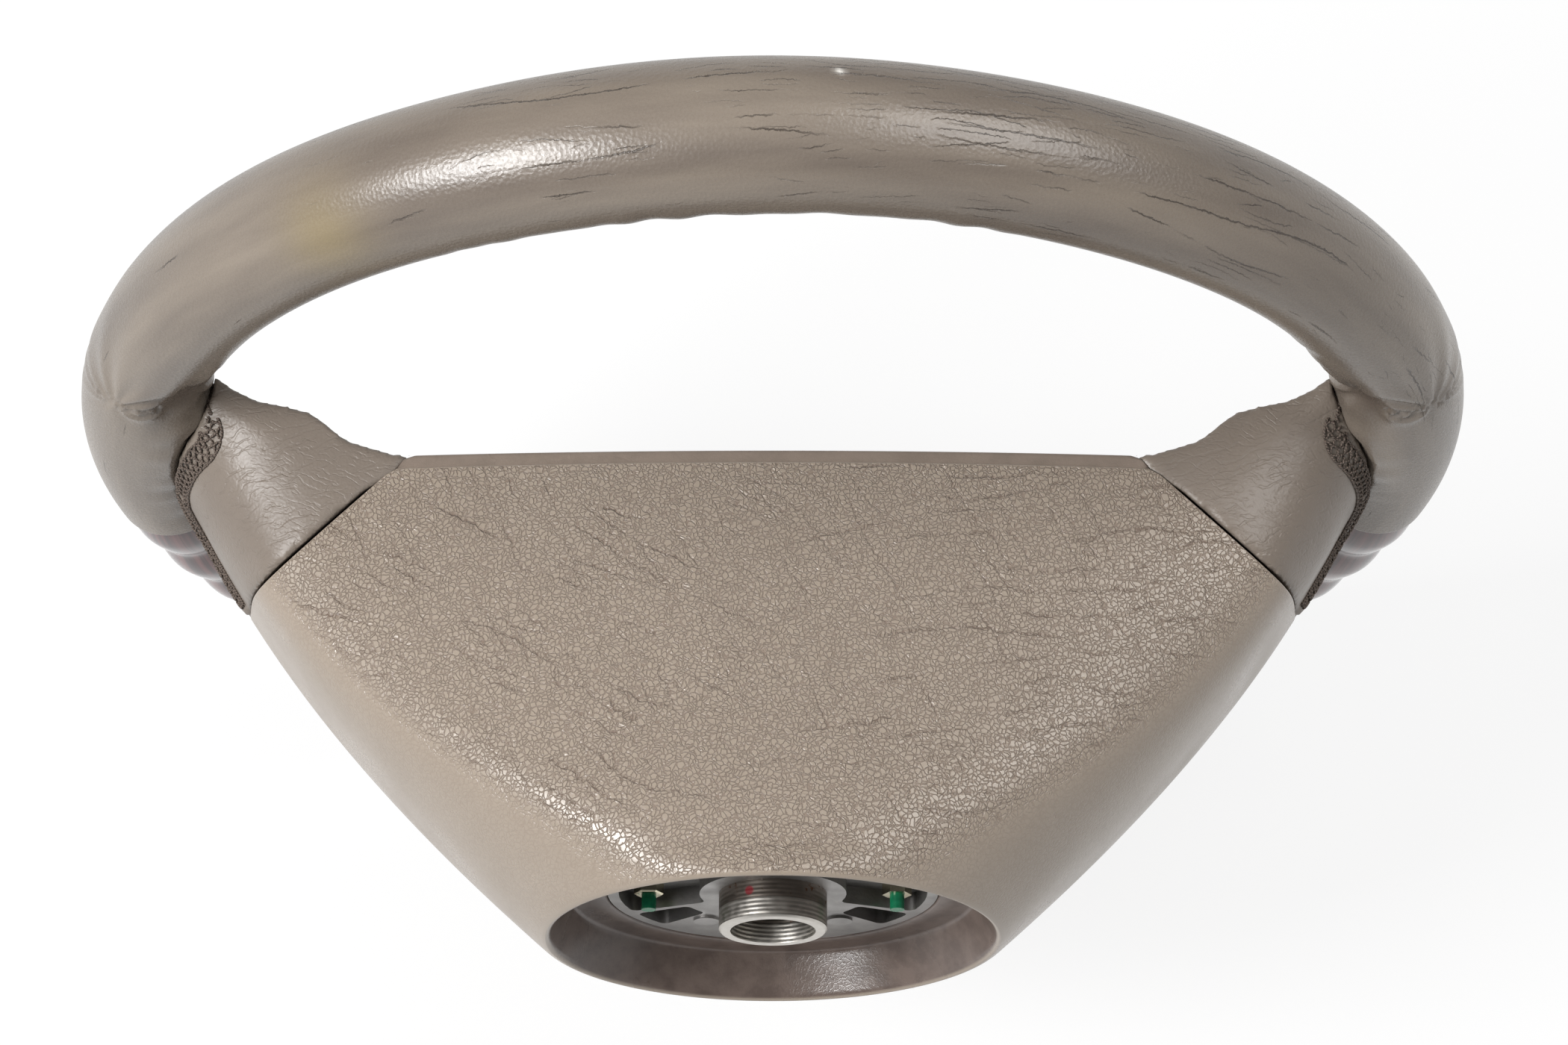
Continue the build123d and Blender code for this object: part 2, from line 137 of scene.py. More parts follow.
@dataclass(frozen=True)
class Finish:
    """A named material whose subclasses draw its nodes."""

    name: str

    def draw(self, tree: Tree) -> Inputs:
        """Adds the nodes of the pattern.

        Args:
            tree: the material's nodes.

        Returns:
            The values and links of the shader's inputs.
        """
        raise NotImplementedError

    @cache
    def material(self) -> bpy.types.Material:
        """Makes the Blender material on first use.

        Returns:
            The material.
        """
        made = bpy.data.materials.new(self.name)
        made.use_nodes = True
        made.node_tree.nodes.clear()
        shader = add(made.node_tree, "BsdfPrincipled", self.draw(made.node_tree))
        add(made.node_tree, "OutputMaterial", {"Surface": shader})
        return made

    def place(self, tree: Tree) -> Node:
        """Gives the frame's coordinates in millimetres."""
        spot = add(tree, "TexCoord").outputs["Object"]
        return add(tree, "VectorMath", {0: spot, "Scale": PER_METRE}, operation="SCALE")

    def creases(self, tree: Tree, place: Node, sizes: Triple, width: float, turned: float = 0.0) -> Node:
        """Draws thin lines where stretched noise crosses its middle level, only where they run with the stretch.

        The distance to a line is the difference from that level divided by the slope across the stretch.

        Args:
            tree: the node tree.
            place: coordinates in millimetres.
            sizes: the noise's size along the stretch, across it and in depth, in millimetres.
            width: half the width of the lines in millimetres.
            turned: the turn of the stretch about Z.

        Returns:
            A node with 1 on the lines and 0 between them.
        """
        step = 0.1
        way = {"Vector": place, "Rotation": (0, 0, turned), "Scale": sizes}
        spot = add(tree, "Mapping", way, vector_type="TEXTURE")
        side = add(tree, "VectorMath", {0: spot, 1: (0, step / sizes[1], 0)}, operation="ADD")
        here, there = (add(tree, "TexNoise", {"Vector": at, "Scale": 1.0, "Detail": 0.0}) for at in (spot, side))
        off = add(tree, "Math", {0: here, 1: 0.5}, operation="SUBTRACT")
        high = add(tree, "Math", {0: off}, operation="ABSOLUTE")
        rise = add(tree, "Math", {0: there, 1: here}, operation="SUBTRACT")
        slope = add(tree, "Math", {0: rise}, operation="ABSOLUTE")
        steps = add(tree, "Math", {0: high, 1: slope}, operation="DIVIDE")
        ends = {"From Min": 0.4 * width / step, "From Max": width / step, "To Min": 1.0, "To Max": 0.0}
        line = add(tree, "MapRange", {"Value": steps, **ends})
        steep = {"Value": slope, "From Min": 0.2 * step / sizes[1], "From Max": 0.5 * step / sizes[1]}
        return add(tree, "Math", {0: line, 1: add(tree, "MapRange", steep)}, operation="MULTIPLY")

    def dress(self, piece: Piece) -> None:
        """Puts this material on a piece in place of what it had."""
        piece.data.materials.clear()
        piece.data.materials.append(self.material())


@dataclass(frozen=True)
class WornRimLeather(Finish):
    """Chrome-tanned cowhide, dyed taupe and pulled round foam: satin, with lengthwise age cracks, and painted shade in
    the hollows by the lacing.
    """

    base: str = "#7d7368"
    shade: str = "#655c54"
    crack: str = "#3a322c"
    # The second mark is painted shade in the hollows by the lacing; the stain and the speck are marks on the leather.
    marks: tuple[tuple[str, str], ...] = (("stain", "#8b7a4d"), ("hollow_shade", "#40352f"), ("speck", "#f2efe8"))
    grain_mm: float = 1.1
    streak_mm: tuple[float, float] = (70.0, 11.0)
    patch_mm: tuple[float, float] = (20.0, 7.0)
    split_mm: Triple = (50.0, 8.0, 1.0)
    split_width: float = 0.22
    hair_mm: Triple = (16.0, 3.0, 1.0)
    hair_width: float = 0.13
    crack_depth: float = 0.3
    gloss: tuple[float, float] = (0.22, 0.34)

    def draw(self, tree: Tree) -> Inputs:
        """Level lines of stretched noise give the cracks, cells the grain, and streaks along the rim the tone.

        Args:
            tree: the material's nodes.

        Returns:
            The shader's inputs.
        """
        girth = add(tree, "UVMap", uv_map="girth")
        spot = add(tree, "VectorMath", {0: girth, "Scale": PER_METRE}, operation="SCALE")
        clouds = []
        for (length, width), detail in ((self.streak_mm, 5.0), (self.patch_mm, 2.0)):
            drawn = add(tree, "VectorMath", {0: spot, 1: (1 / length, 1 / width, 1)}, operation="MULTIPLY")
            clouds.append(add(tree, "TexNoise", {"Vector": drawn, "Scale": 1.0, "Detail": detail}))
        tone, patch = clouds
        grain = add(tree, "TexVoronoi", {"Vector": spot, "Scale": 1 / self.grain_mm}, voronoi_dimensions="2D")
        pores = add(tree, "TexNoise", {"Vector": spot, "Scale": 1.4, "Detail": 4.0})
        jag = add(tree, "TexNoise", {"Vector": spot, "Scale": 0.5, "Detail": 4.0, "Roughness": 0.7})
        torn = {0: jag.outputs["Color"], 1: (2.0, 1.7, 0), 2: spot}
        torn = add(tree, "VectorMath", torn, operation="MULTIPLY_ADD")
        splits = self.creases(tree, torn, self.split_mm, self.split_width)
        hairs = self.creases(tree, torn, self.hair_mm, self.hair_width)
        worn = add(tree, "Attribute", attribute_name="worn").outputs["Fac"]
        reach = add(tree, "Math", {0: worn, 1: 0.36, 2: patch}, operation="MULTIPLY_ADD")
        wide = add(tree, "MapRange", {"Value": reach, "From Min": 0.6, "From Max": 0.72})
        thin = add(tree, "MapRange", {"Value": reach, "From Min": 0.66, "From Max": 0.86})
        split = add(tree, "Math", {0: splits, 1: wide}, operation="MULTIPLY")
        hair = add(tree, "Math", {0: hairs, 1: thin}, operation="MULTIPLY")
        cracks = add(tree, "Math", {0: split, 1: hair}, operation="MAXIMUM")
        mixed = add(tree, "MapRange", {"Value": tone, "From Min": 0.3, "From Max": 0.7})
        hue = add(tree, "Mix", {0: mixed, 6: self.base, 7: self.shade}, data_type="RGBA")
        # Mixes in the marks: a stain, the painted shade in the lacing hollows, and a speck.
        for mark, tint in self.marks:
            amount = add(tree, "Attribute", attribute_name=mark).outputs["Fac"]
            hue = add(tree, "Mix", {0: amount, 6: hue, 7: tint}, data_type="RGBA")
        dark = add(tree, "Math", {0: cracks, 1: 0.8}, operation="MULTIPLY")
        hue = add(tree, "Mix", {0: dark, 6: hue, 7: self.crack}, data_type="RGBA")
        low, high = self.gloss
        rough = {"Value": pores, "From Min": 0.3, "From Max": 0.7, "To Min": low, "To Max": high}
        fine = add(tree, "Math", {0: pores, 1: 0.06}, operation="MULTIPLY")
        skin = add(tree, "Math", {0: grain, 1: 0.05, 2: fine}, operation="MULTIPLY_ADD")
        cut = add(tree, "Math", {0: cracks, 1: -self.crack_depth, 2: skin}, operation="MULTIPLY_ADD")
        bump = add(tree, "Bump", {"Strength": 1.0, "Distance": MM, "Height": cut})
        return {"Base Color": hue, "Roughness": add(tree, "MapRange", rough), "Normal": bump}


@dataclass(frozen=True)
class WrinkledLeather(Finish):
    """Thin cowhide glued over foam: fine crossing wrinkles on the face, stretched smooth along the lacing.

    Each family of wrinkles has the size of its noise, half its lines' width, its turn and its depth.
    """

    base: str = "#7c7268"
    shade: str = "#6b6158"
    wrinkles: tuple[tuple[Triple, float, float, float], ...] = (
        ((13.0, 3.0, 3.0), 0.5, 0.3, 0.08),
        ((7.0, 1.8, 1.8), 0.3, -0.35, 0.045),
    )
    grain_mm: float = 0.9
    tone_mm: float = 24.0
    gloss: tuple[float, float] = (0.36, 0.46)

    def draw(self, tree: Tree) -> Inputs:
        """Two families of lines along the spoke give the wrinkles, cells the grain, and the band mark smooths both.

        Args:
            tree: the material's nodes.

        Returns:
            The shader's inputs.
        """
        place = self.place(tree)
        tone = add(tree, "TexNoise", {"Vector": place, "Scale": 1 / self.tone_mm, "Detail": 5.0})
        warp = add(tree, "TexNoise", {"Vector": place, "Scale": 0.2, "Detail": 3.0})
        bend = {0: warp.outputs["Color"], 1: (4, 4, 4), 2: place}
        bend = add(tree, "VectorMath", bend, operation="MULTIPLY_ADD")
        grain = add(tree, "TexVoronoi", {"Vector": place, "Scale": 1 / self.grain_mm})
        height = add(tree, "Math", {0: grain, 1: 0.05}, operation="MULTIPLY")
        for sizes, width, turned, depth in self.wrinkles:
            lines = self.creases(tree, bend, sizes, width, turned)
            height = add(tree, "Math", {0: lines, 1: -depth, 2: height}, operation="MULTIPLY_ADD")
        band = add(tree, "Attribute", attribute_name="band").outputs["Fac"]
        strength = add(tree, "MapRange", {"Value": band, "To Min": 1.0, "To Max": 0.15})
        bump = add(tree, "Bump", {"Strength": strength, "Distance": MM, "Height": height})
        hue = add(tree, "Mix", {0: tone, 6: self.base, 7: self.shade}, data_type="RGBA")
        low, high = self.gloss
        rough = {"Value": tone, "From Min": 0.3, "From Max": 0.7, "To Min": low, "To Max": high}
        return {"Base Color": hue, "Roughness": add(tree, "MapRange", rough), "Normal": bump}


@dataclass(frozen=True)
class MouldedGrainSkin(Finish):
    """Polyurethane skin foamed in a grained mould: pebbles crossed by long creases, satin, one colour right through,
    with painted shade in the pebble gaps, the creases and the boss mouth.

    Each family of creases has the length of its noise and its turn: left, right, and a fainter one all over.
    """

    base: str = "#988c7f"
    shade: str = "#8c8073"
    # Painted shade in the gaps between pebbles and in the creases.
    hollow: str = "#6c5c51"
    # Painted shade of the boss mouth, mottled between these two colours; the front strip and inner wall take it in
    # part as a plain darkening.
    bare: str = "#685b54"
    wall_dark: str = "#584c46"
    pebble_mm: float = 1.3
    pebble_height: float = 0.2
    crease_depth: float = 0.3
    crease_width: float = 0.5
    roughness: float = 0.28
    folds: tuple[tuple[float, float], ...] = ((46.0, -0.5), (40.0, 0.1), (46.0, -1.1))
    fold_pitch_mm: float = 7.0
    faintness: float = 0.6
    tone_mm: float = 30.0
    patch_mm: float = 17.0
    wall_mottle_mm: float = 7.0

    def draw(self, tree: Tree) -> Inputs:
        """Small cells give the pebbles, three families of lines the creases, and the grain mark fades both. Painted
        shade darkens the gaps between pebbles and the creases, and the bare mark lays painted shade in the boss mouth
        and a plain darkening on the front strip and inner wall.

        Args:
            tree: the material's nodes.

        Returns:
            The shader's inputs.
        """
        place = self.place(tree)
        tone = add(tree, "TexNoise", {"Vector": place, "Scale": 1 / self.tone_mm, "Detail": 5.0})
        warp = add(tree, "TexNoise", {"Vector": place, "Scale": 0.3, "Detail": 3.0})
        bend = {0: warp.outputs["Color"], 1: (3.0, 3.0, 3.0), 2: place}
        bend = add(tree, "VectorMath", bend, operation="MULTIPLY_ADD")
        left, right, faint = (
            self.creases(tree, bend, (length, self.fold_pitch_mm, self.fold_pitch_mm), self.crease_width, turned)
            for length, turned in self.folds
        )
        across = add(tree, "SeparateXYZ", {0: place}).outputs["X"]
        east = {"Value": across, "From Min": -35.0, "From Max": 35.0}
        east = add(tree, "MapRange", east, interpolation_type="SMOOTHSTEP")
        crease = add(tree, "Mix", {0: east, 2: left, 3: right}, data_type="FLOAT")
        faint = add(tree, "Math", {0: faint, 1: self.faintness}, operation="MULTIPLY")
        crease = add(tree, "Math", {0: crease, 1: faint}, operation="MAXIMUM")
        patch = add(tree, "TexNoise", {"Vector": place, "Scale": 1 / self.patch_mm, "Detail": 2.0})
        shown = add(tree, "MapRange", {"Value": patch, "From Min": 0.3, "From Max": 0.56})
        creased = add(tree, "Attribute", attribute_name="crease").outputs["Fac"]
        strong = add(tree, "Math", {0: shown, 1: creased}, operation="MULTIPLY")
        cut = add(tree, "Math", {0: crease, 1: strong}, operation="MULTIPLY")
        cells = {"Vector": bend, "Scale": 1 / self.pebble_mm}
        pebbles = add(tree, "TexVoronoi", cells, feature="DISTANCE_TO_EDGE")
        dome = {"Value": pebbles, "From Min": 0.0, "From Max": 0.17}
        dome = add(tree, "MapRange", dome, interpolation_type="SMOOTHSTEP")
        deep = add(tree, "Math", {0: cut, 1: -self.crease_depth}, operation="MULTIPLY")
        height = add(tree, "Math", {0: dome, 1: self.pebble_height, 2: deep}, operation="MULTIPLY_ADD")
        grain = add(tree, "Attribute", attribute_name="grain").outputs["Fac"]
        bump = add(tree, "Bump", {"Strength": grain, "Distance": MM, "Height": height})
        hue = add(tree, "Mix", {0: tone, 6: self.base, 7: self.shade}, data_type="RGBA")
        # Painted shade: the gaps between pebbles and the creases darken towards the hollow colour, where the grain
        # mark allows.
        cavity_shade = add(tree, "MapRange", {"Value": dome, "To Min": 0.6, "To Max": 0.0})
        cavity_shade = add(tree, "Math", {0: cut, 1: 0.35, 2: cavity_shade}, operation="MULTIPLY_ADD")
        cavity_shade = add(tree, "Math", {0: cavity_shade, 1: grain}, operation="MULTIPLY")
        hue = add(tree, "Mix", {0: cavity_shade, 6: hue, 7: self.hollow}, data_type="RGBA")
        # By the bare mark: painted shade in the boss mouth, and a plain darkening of the front strip and inner wall,
        # both mottled by noise.
        wall_noise = {"Vector": place, "Scale": 1 / self.wall_mottle_mm, "Detail": 6.0, "Roughness": 0.65}
        wall_noise = add(tree, "TexNoise", wall_noise)
        wall_mottle = add(tree, "MapRange", {"Value": wall_noise, "From Min": 0.42, "From Max": 0.62})
        wall = add(tree, "Mix", {0: wall_mottle, 6: self.bare, 7: self.wall_dark}, data_type="RGBA")
        inside = add(tree, "Attribute", attribute_name="bare").outputs["Fac"]
        hue = add(tree, "Mix", {0: inside, 6: hue, 7: wall}, data_type="RGBA")
        rough = {"To Min": self.roughness - 0.04, "To Max": self.roughness + 0.06}
        rough |= {"Value": tone, "From Min": 0.3, "From Max": 0.7}
        return {"Base Color": hue, "Roughness": add(tree, "MapRange", rough), "Normal": bump}


@dataclass(frozen=True)
class LacqueredWood(Finish):
    """Bent laminated wood stained dark plum-brown, under thick polished lacquer: a mirror coat over faint grain."""

    base: str = "#5f3c3b"
    vein: str = "#352326"
    vein_mm: float = 3.2
    vein_length_mm: float = 70.0
    roughness: float = 0.38
    coat_roughness: float = 0.04

    def draw(self, tree: Tree) -> Inputs:
        """Noise stretched along the rim gives the veins, and the coat gives the gloss.

        Args:
            tree: the material's nodes.

        Returns:
            The shader's inputs.
        """
        girth = add(tree, "UVMap", uv_map="girth")
        scale = (PER_METRE / self.vein_length_mm, PER_METRE / self.vein_mm, 1)
        drawn = add(tree, "VectorMath", {0: girth, 1: scale}, operation="MULTIPLY")
        vein = {"Vector": drawn, "Scale": 1.0, "Detail": 6.0, "Roughness": 0.62, "Distortion": 0.4}
        vein = add(tree, "TexNoise", vein, noise_dimensions="2D")
        dark = add(tree, "MapRange", {"Value": vein, "From Min": 0.38, "From Max": 0.62})
        hue = add(tree, "Mix", {0: dark, 6: self.base, 7: self.vein}, data_type="RGBA")
        coat = {"Coat Weight": 1.0, "Coat Roughness": self.coat_roughness}
        return {"Base Color": hue, "Roughness": self.roughness, **coat}


@dataclass(frozen=True)
class WaxedThread(Finish):
    """Three-ply waxed polyester thread, taupe and grimy: matt, with the twist of its plies and painted shade in the
    grooves between them.
    """

    base: str = "#665950"
    shade: str = "#3f362f"
    twist_mm: float = 0.9
    roughness: float = 0.72

    def draw(self, tree: Tree) -> Inputs:
        """Slanted bands along the thread give the twist, as bumps and as painted shade in the grooves between the
        plies.

        Args:
            tree: the material's nodes.

        Returns:
            The shader's inputs.
        """
        girth = add(tree, "UVMap", uv_map="girth")
        slant = {0: girth, 1: (PER_METRE / self.twist_mm, 1.0, 0)}
        phase = add(tree, "VectorMath", slant, operation="DOT_PRODUCT").outputs["Value"]
        turn = add(tree, "Math", {0: phase, 1: math.tau}, operation="MULTIPLY")
        ply = add(tree, "Math", {0: turn}, operation="SINE")
        # Painted shade: the grooves between the plies darken towards the shade colour.
        mix = add(tree, "MapRange", {"Value": ply, "From Min": -1.0, "From Max": 0.6})
        hue = add(tree, "Mix", {0: mix, 6: self.shade, 7: self.base}, data_type="RGBA")
        bump = add(tree, "Bump", {"Strength": 0.8, "Distance": 0.1 * MM, "Height": ply})
        return {"Base Color": hue, "Roughness": self.roughness, "Normal": bump}


@dataclass(frozen=True)
class CastAlloy(Finish):
    """Pressure die-cast magnesium-aluminium, unpainted: dull silver skin with a fine mould texture, stains, and
    painted shade in the deep pockets.
    """

    base: str = "#acaaa8"
    # Colour of the stains, and of the painted shade on the deep pocket floors.
    stain: str = "#807e7c"
    pit_mm: float = 0.9
    stain_mm: float = 9.0
    gloss: tuple[float, float] = (0.42, 0.6)

    def draw(self, tree: Tree) -> Inputs:
        """Fine noise gives the mould texture, wide noise the stains, and depth darkens the pockets as painted shade.

        Args:
            tree: the material's nodes.

        Returns:
            The shader's inputs.
        """
        place = self.place(tree)
        cloud = add(tree, "TexNoise", {"Vector": place, "Scale": 1 / self.stain_mm, "Detail": 6.0})
        pits = add(tree, "TexNoise", {"Vector": place, "Scale": 1 / self.pit_mm, "Detail": 3.0})
        # Painted shade: from Y 9 to 15 mm the pocket floors darken towards the stain colour.
        deep = add(tree, "SeparateXYZ", {0: place}).outputs["Y"]
        floor = {"Value": deep, "From Min": 9.0, "From Max": 15.0, "To Min": 0.0, "To Max": 0.45}
        mix = add(tree, "Math", {0: cloud, 1: add(tree, "MapRange", floor)}, operation="ADD")
        part = add(tree, "MapRange", {"Value": mix, "From Min": 0.4, "From Max": 0.95})
        hue = add(tree, "Mix", {0: part, 6: self.base, 7: self.stain}, data_type="RGBA")
        low, high = self.gloss
        rough = {"Value": cloud, "From Min": 0.3, "From Max": 0.7, "To Min": low, "To Max": high}
        bump = add(tree, "Bump", {"Strength": 0.7, "Distance": 0.12 * MM, "Height": pits})
        return {"Base Color": hue, "Metallic": 1.0, "Roughness": add(tree, "MapRange", rough), "Normal": bump}


@dataclass(frozen=True)
class TurnedSteel(Finish):
    """Free-cutting steel turned on a lathe: fine rings, a darker used zone, rust specks and a dab of red paint."""

    bright: str = "#c4c0b9"
    used: str = "#877f77"
    rust: str = "#6a4a35"
    dab: str = "#8e2c33"
    ring_mm: float = 1.2  # coarser than the real feed of about 0.3 mm, so that the rings show in the render
    used_from_mm: float = 5.4
    dab_mm: Triple = (-6.4, 7.6, 13.3)
    gloss: tuple[float, float] = (0.34, 0.5)

    def draw(self, tree: Tree) -> Inputs:
        """Bands along the axis give the tool rings, and noise gives the specks.

        Args:
            tree: the material's nodes.

        Returns:
            The shader's inputs.
        """
        place = self.place(tree)
        axis = add(tree, "SeparateXYZ", {0: place}).outputs["Y"]
        turn = add(tree, "Math", {0: axis, 1: math.tau / self.ring_mm}, operation="MULTIPLY")
        ring = add(tree, "Math", {0: turn}, operation="SINE")
        cloud = add(tree, "TexNoise", {"Vector": place, "Scale": 0.5, "Detail": 6.0})
        zone = {"Value": axis, "From Min": self.used_from_mm, "From Max": self.used_from_mm + 0.2}
        zone = add(tree, "MapRange", zone)
        hue = add(tree, "Mix", {0: zone, 6: self.bright, 7: self.used}, data_type="RGBA")
        specks = {"Value": cloud, "From Min": 0.6, "From Max": 0.7}
        specks = add(tree, "MapRange", specks, interpolation_type="SMOOTHSTEP")
        rusty = add(tree, "Math", {0: specks, 1: zone}, operation="MULTIPLY")
        aged = add(tree, "Mix", {0: rusty, 6: hue, 7: self.rust}, data_type="RGBA")
        near = add(tree, "VectorMath", {0: place, 1: self.dab_mm}, operation="DISTANCE").outputs["Value"]
        red = {"Value": near, "From Min": 1.0, "From Max": 1.5, "To Min": 1.0, "To Max": 0.0}
        red = add(tree, "MapRange", red)
        colour = add(tree, "Mix", {0: red, 6: aged, 7: self.dab}, data_type="RGBA")
        metal = add(tree, "Math", {0: 1.0, 1: red}, operation="SUBTRACT")
        low, high = self.gloss
        rough = {"Value": cloud, "From Min": 0.35, "From Max": 0.7, "To Min": low, "To Max": high}
        bump = add(tree, "Bump", {"Strength": 0.6, "Distance": 0.04 * MM, "Height": ring})
        return {"Base Color": colour, "Metallic": metal, "Roughness": add(tree, "MapRange", rough), "Normal": bump}


@dataclass(frozen=True)
class SealedSteel(Finish):
    """Zinc-plated steel sealed with green lacquer: glossy paint that ends in a broken edge on bare metal."""

    paint_to_mm: float
    edge_mm: float = 0.7
    paint: str = "#1f8a5e"
    deep: str = "#0e5a3f"
    metal: str = "#d2ccb2"
    roughness: float = 0.26

    def draw(self, tree: Tree) -> Inputs:
        """Noise breaks the edge of the paint, which covers the column side as far as its limit.

        Args:
            tree: the material's nodes.

        Returns:
            The shader's inputs.
        """
        place = self.place(tree)
        axis = add(tree, "SeparateXYZ", {0: place}).outputs["Y"]
        cloud = add(tree, "TexNoise", {"Vector": place, "Scale": 0.6, "Detail": 4.0})
        lift = {"Value": axis, "To Min": -0.35, "To Max": 0.35}
        lift |= {"From Min": self.paint_to_mm - self.edge_mm, "From Max": self.paint_to_mm + self.edge_mm}
        thin = add(tree, "Math", {0: cloud, 1: add(tree, "MapRange", lift)}, operation="ADD")
        bare = {"Value": thin, "From Min": 0.48, "From Max": 0.6}
        bare = add(tree, "MapRange", bare, interpolation_type="SMOOTHSTEP")
        green = add(tree, "Mix", {0: cloud, 6: self.deep, 7: self.paint}, data_type="RGBA")
        hue = add(tree, "Mix", {0: bare, 6: green, 7: self.metal}, data_type="RGBA")
        return {"Base Color": hue, "Metallic": bare, "Roughness": self.roughness}


@dataclass(frozen=True)
class PlainMetal(Finish):
    """Plated sheet, wire or brass parts: metal with cloudy plating and small scratches."""

    base: str
    shade: str
    roughness: float = 0.34
    cloud_mm: float = 6.0

    def draw(self, tree: Tree) -> Inputs:
        """Wide noise clouds the plating, and stretched noise gives the drawing marks.

        Args:
            tree: the material's nodes.

        Returns:
            The shader's inputs.
        """
        place = self.place(tree)
        cloud = add(tree, "TexNoise", {"Vector": place, "Scale": 1 / self.cloud_mm, "Detail": 5.0})
        drawn = add(tree, "VectorMath", {0: place, 1: (0.2, 2.0, 2.0)}, operation="MULTIPLY")
        scratch = add(tree, "TexNoise", {"Vector": drawn, "Scale": 1.0, "Detail": 3.0})
        hue = add(tree, "Mix", {0: cloud, 6: self.base, 7: self.shade}, data_type="RGBA")
        rough = {"To Min": self.roughness - 0.08, "To Max": self.roughness + 0.1}
        rough |= {"Value": scratch, "From Min": 0.3, "From Max": 0.7}
        bump = add(tree, "Bump", {"Strength": 0.4, "Distance": 0.05 * MM, "Height": scratch})
        return {"Base Color": hue, "Metallic": 1.0, "Roughness": add(tree, "MapRange", rough), "Normal": bump}


@dataclass(frozen=True)
class WovenNylon(Finish):
    """Plain-woven coated nylon of a folded air cushion: matt off-white with crossing threads, and painted shade in the
    dips of the weave.
    """

    base: str = "#d8d4c8"
    shade: str = "#b9b4a6"
    thread_mm: float = 1.2
    roughness: float = 0.85

    def draw(self, tree: Tree) -> Inputs:
        """Two crossed sine bands give the weave, as bumps and as painted shade in its dips.

        Args:
            tree: the material's nodes.

        Returns:
            The shader's inputs.
        """
        axes = add(tree, "SeparateXYZ", {0: self.place(tree)})
        bands = []
        for axis in ("X", "Z"):
            turn = add(tree, "Math", {0: axes.outputs[axis], 1: math.tau / self.thread_mm}, operation="MULTIPLY")
            bands.append(add(tree, "Math", {0: turn}, operation="SINE"))
        weave = add(tree, "Math", dict(enumerate(bands)), operation="MULTIPLY")
        # Painted shade: the dips of the weave darken towards the shade colour.
        part = add(tree, "MapRange", {"Value": weave, "From Min": -1.0, "From Max": 1.0})
        hue = add(tree, "Mix", {0: part, 6: self.shade, 7: self.base}, data_type="RGBA")
        bump = add(tree, "Bump", {"Strength": 0.6, "Distance": 0.1 * MM, "Height": weave})
        return {"Base Color": hue, "Roughness": self.roughness, "Normal": bump}


RIM_LEATHER = WornRimLeather("worn_rim_leather")
SPOKE_LEATHER = WrinkledLeather("wrinkled_spoke_leather")
SHROUD_SKIN = MouldedGrainSkin("moulded_shroud_skin")
# The pad's skin also carries painted shade in its pebble gaps and creases.
PAD_SKIN = MouldedGrainSkin("moulded_pad_skin", pebble_mm=1.1, pebble_height=0.1, crease_depth=0.1)
WOOD = LacqueredWood("plum_lacquered_wood")
THREAD = WaxedThread("waxed_thread")
CAST = CastAlloy("die_cast_alloy")
STEEL = TurnedSteel("lathe_turned_steel")
NUT = SealedSteel("zinc_nut_with_green_dabs", paint_to_mm=11.9)
STUD = SealedSteel("green_sealed_stud", paint_to_mm=20.0)
ZINC = PlainMetal("zinc_plated_steel", base="#b4b4ae", shade="#97968d")
BRASS = PlainMetal("spring_brass", base="#c39d55", shade="#a07f42", roughness=0.28)
NYLON = WovenNylon("woven_nylon")


def grid_quads(rows: int, columns: int, wrap_rows: bool, wrap_columns: bool, stride: int | None = None) -> Array:
    """Joins each point of a grid with its next neighbours into quads.

    Args:
        rows: the number of rows of points.
        columns: the number of points in a row.
        wrap_rows: whether the last row joins the first.
        wrap_columns: whether the last column joins the first.
        stride: the row length to number by where the corners don't wrap, or None for points.

    Returns:
        Four indices for each quad.
    """
    i, j = np.indices((rows if wrap_rows else rows - 1, columns if wrap_columns else columns - 1))
    if stride:
        below, right, width = i + 1, j + 1, stride
    else:
        below, right, width = (i + 1) % rows, (j + 1) % columns, columns
    corners = (i * width + j, i * width + right, below * width + right, below * width + j)
    return np.stack(corners, -1).reshape(-1, 4)


@dataclass
class Surface:
    """A grid of points in millimetres, with marks on the points and pattern coordinates along both grid directions."""

    points: Array
    wrap_rows: bool = False
    wrap_columns: bool = False
    marks: dict[str, Array] = field(default_factory=dict)
    pattern: Array | None = None

    def piece(self, name: str) -> Piece:
        """Writes the grid as a closed mesh, with doubles merged at poles and faces turned outwards.

        Args:
            name: the piece's name.

        Returns:
            The new object, at the origin.
        """
        rows, columns = self.points.shape[:2]
        quads = grid_quads(rows, columns, self.wrap_rows, self.wrap_columns)
        mesh = bpy.data.meshes.new(name)
        mesh.from_pydata((self.points.reshape(-1, 3) * MM).tolist(), [], quads.tolist())
        if self.pattern is not None:
            corner = grid_quads(rows, columns, self.wrap_rows, self.wrap_columns, self.pattern.shape[1])
            flat = self.pattern.reshape(-1, 2)[corner.reshape(-1)] * MM
            mesh.uv_layers.new(name="girth").data.foreach_set("uv", flat.astype(np.float32).reshape(-1))
        for key, mark in self.marks.items():
            layer = mesh.attributes.new(key, "FLOAT", "POINT")
            layer.data.foreach_set("value", mark.astype(np.float32).reshape(-1))
        return outward(name, mesh)


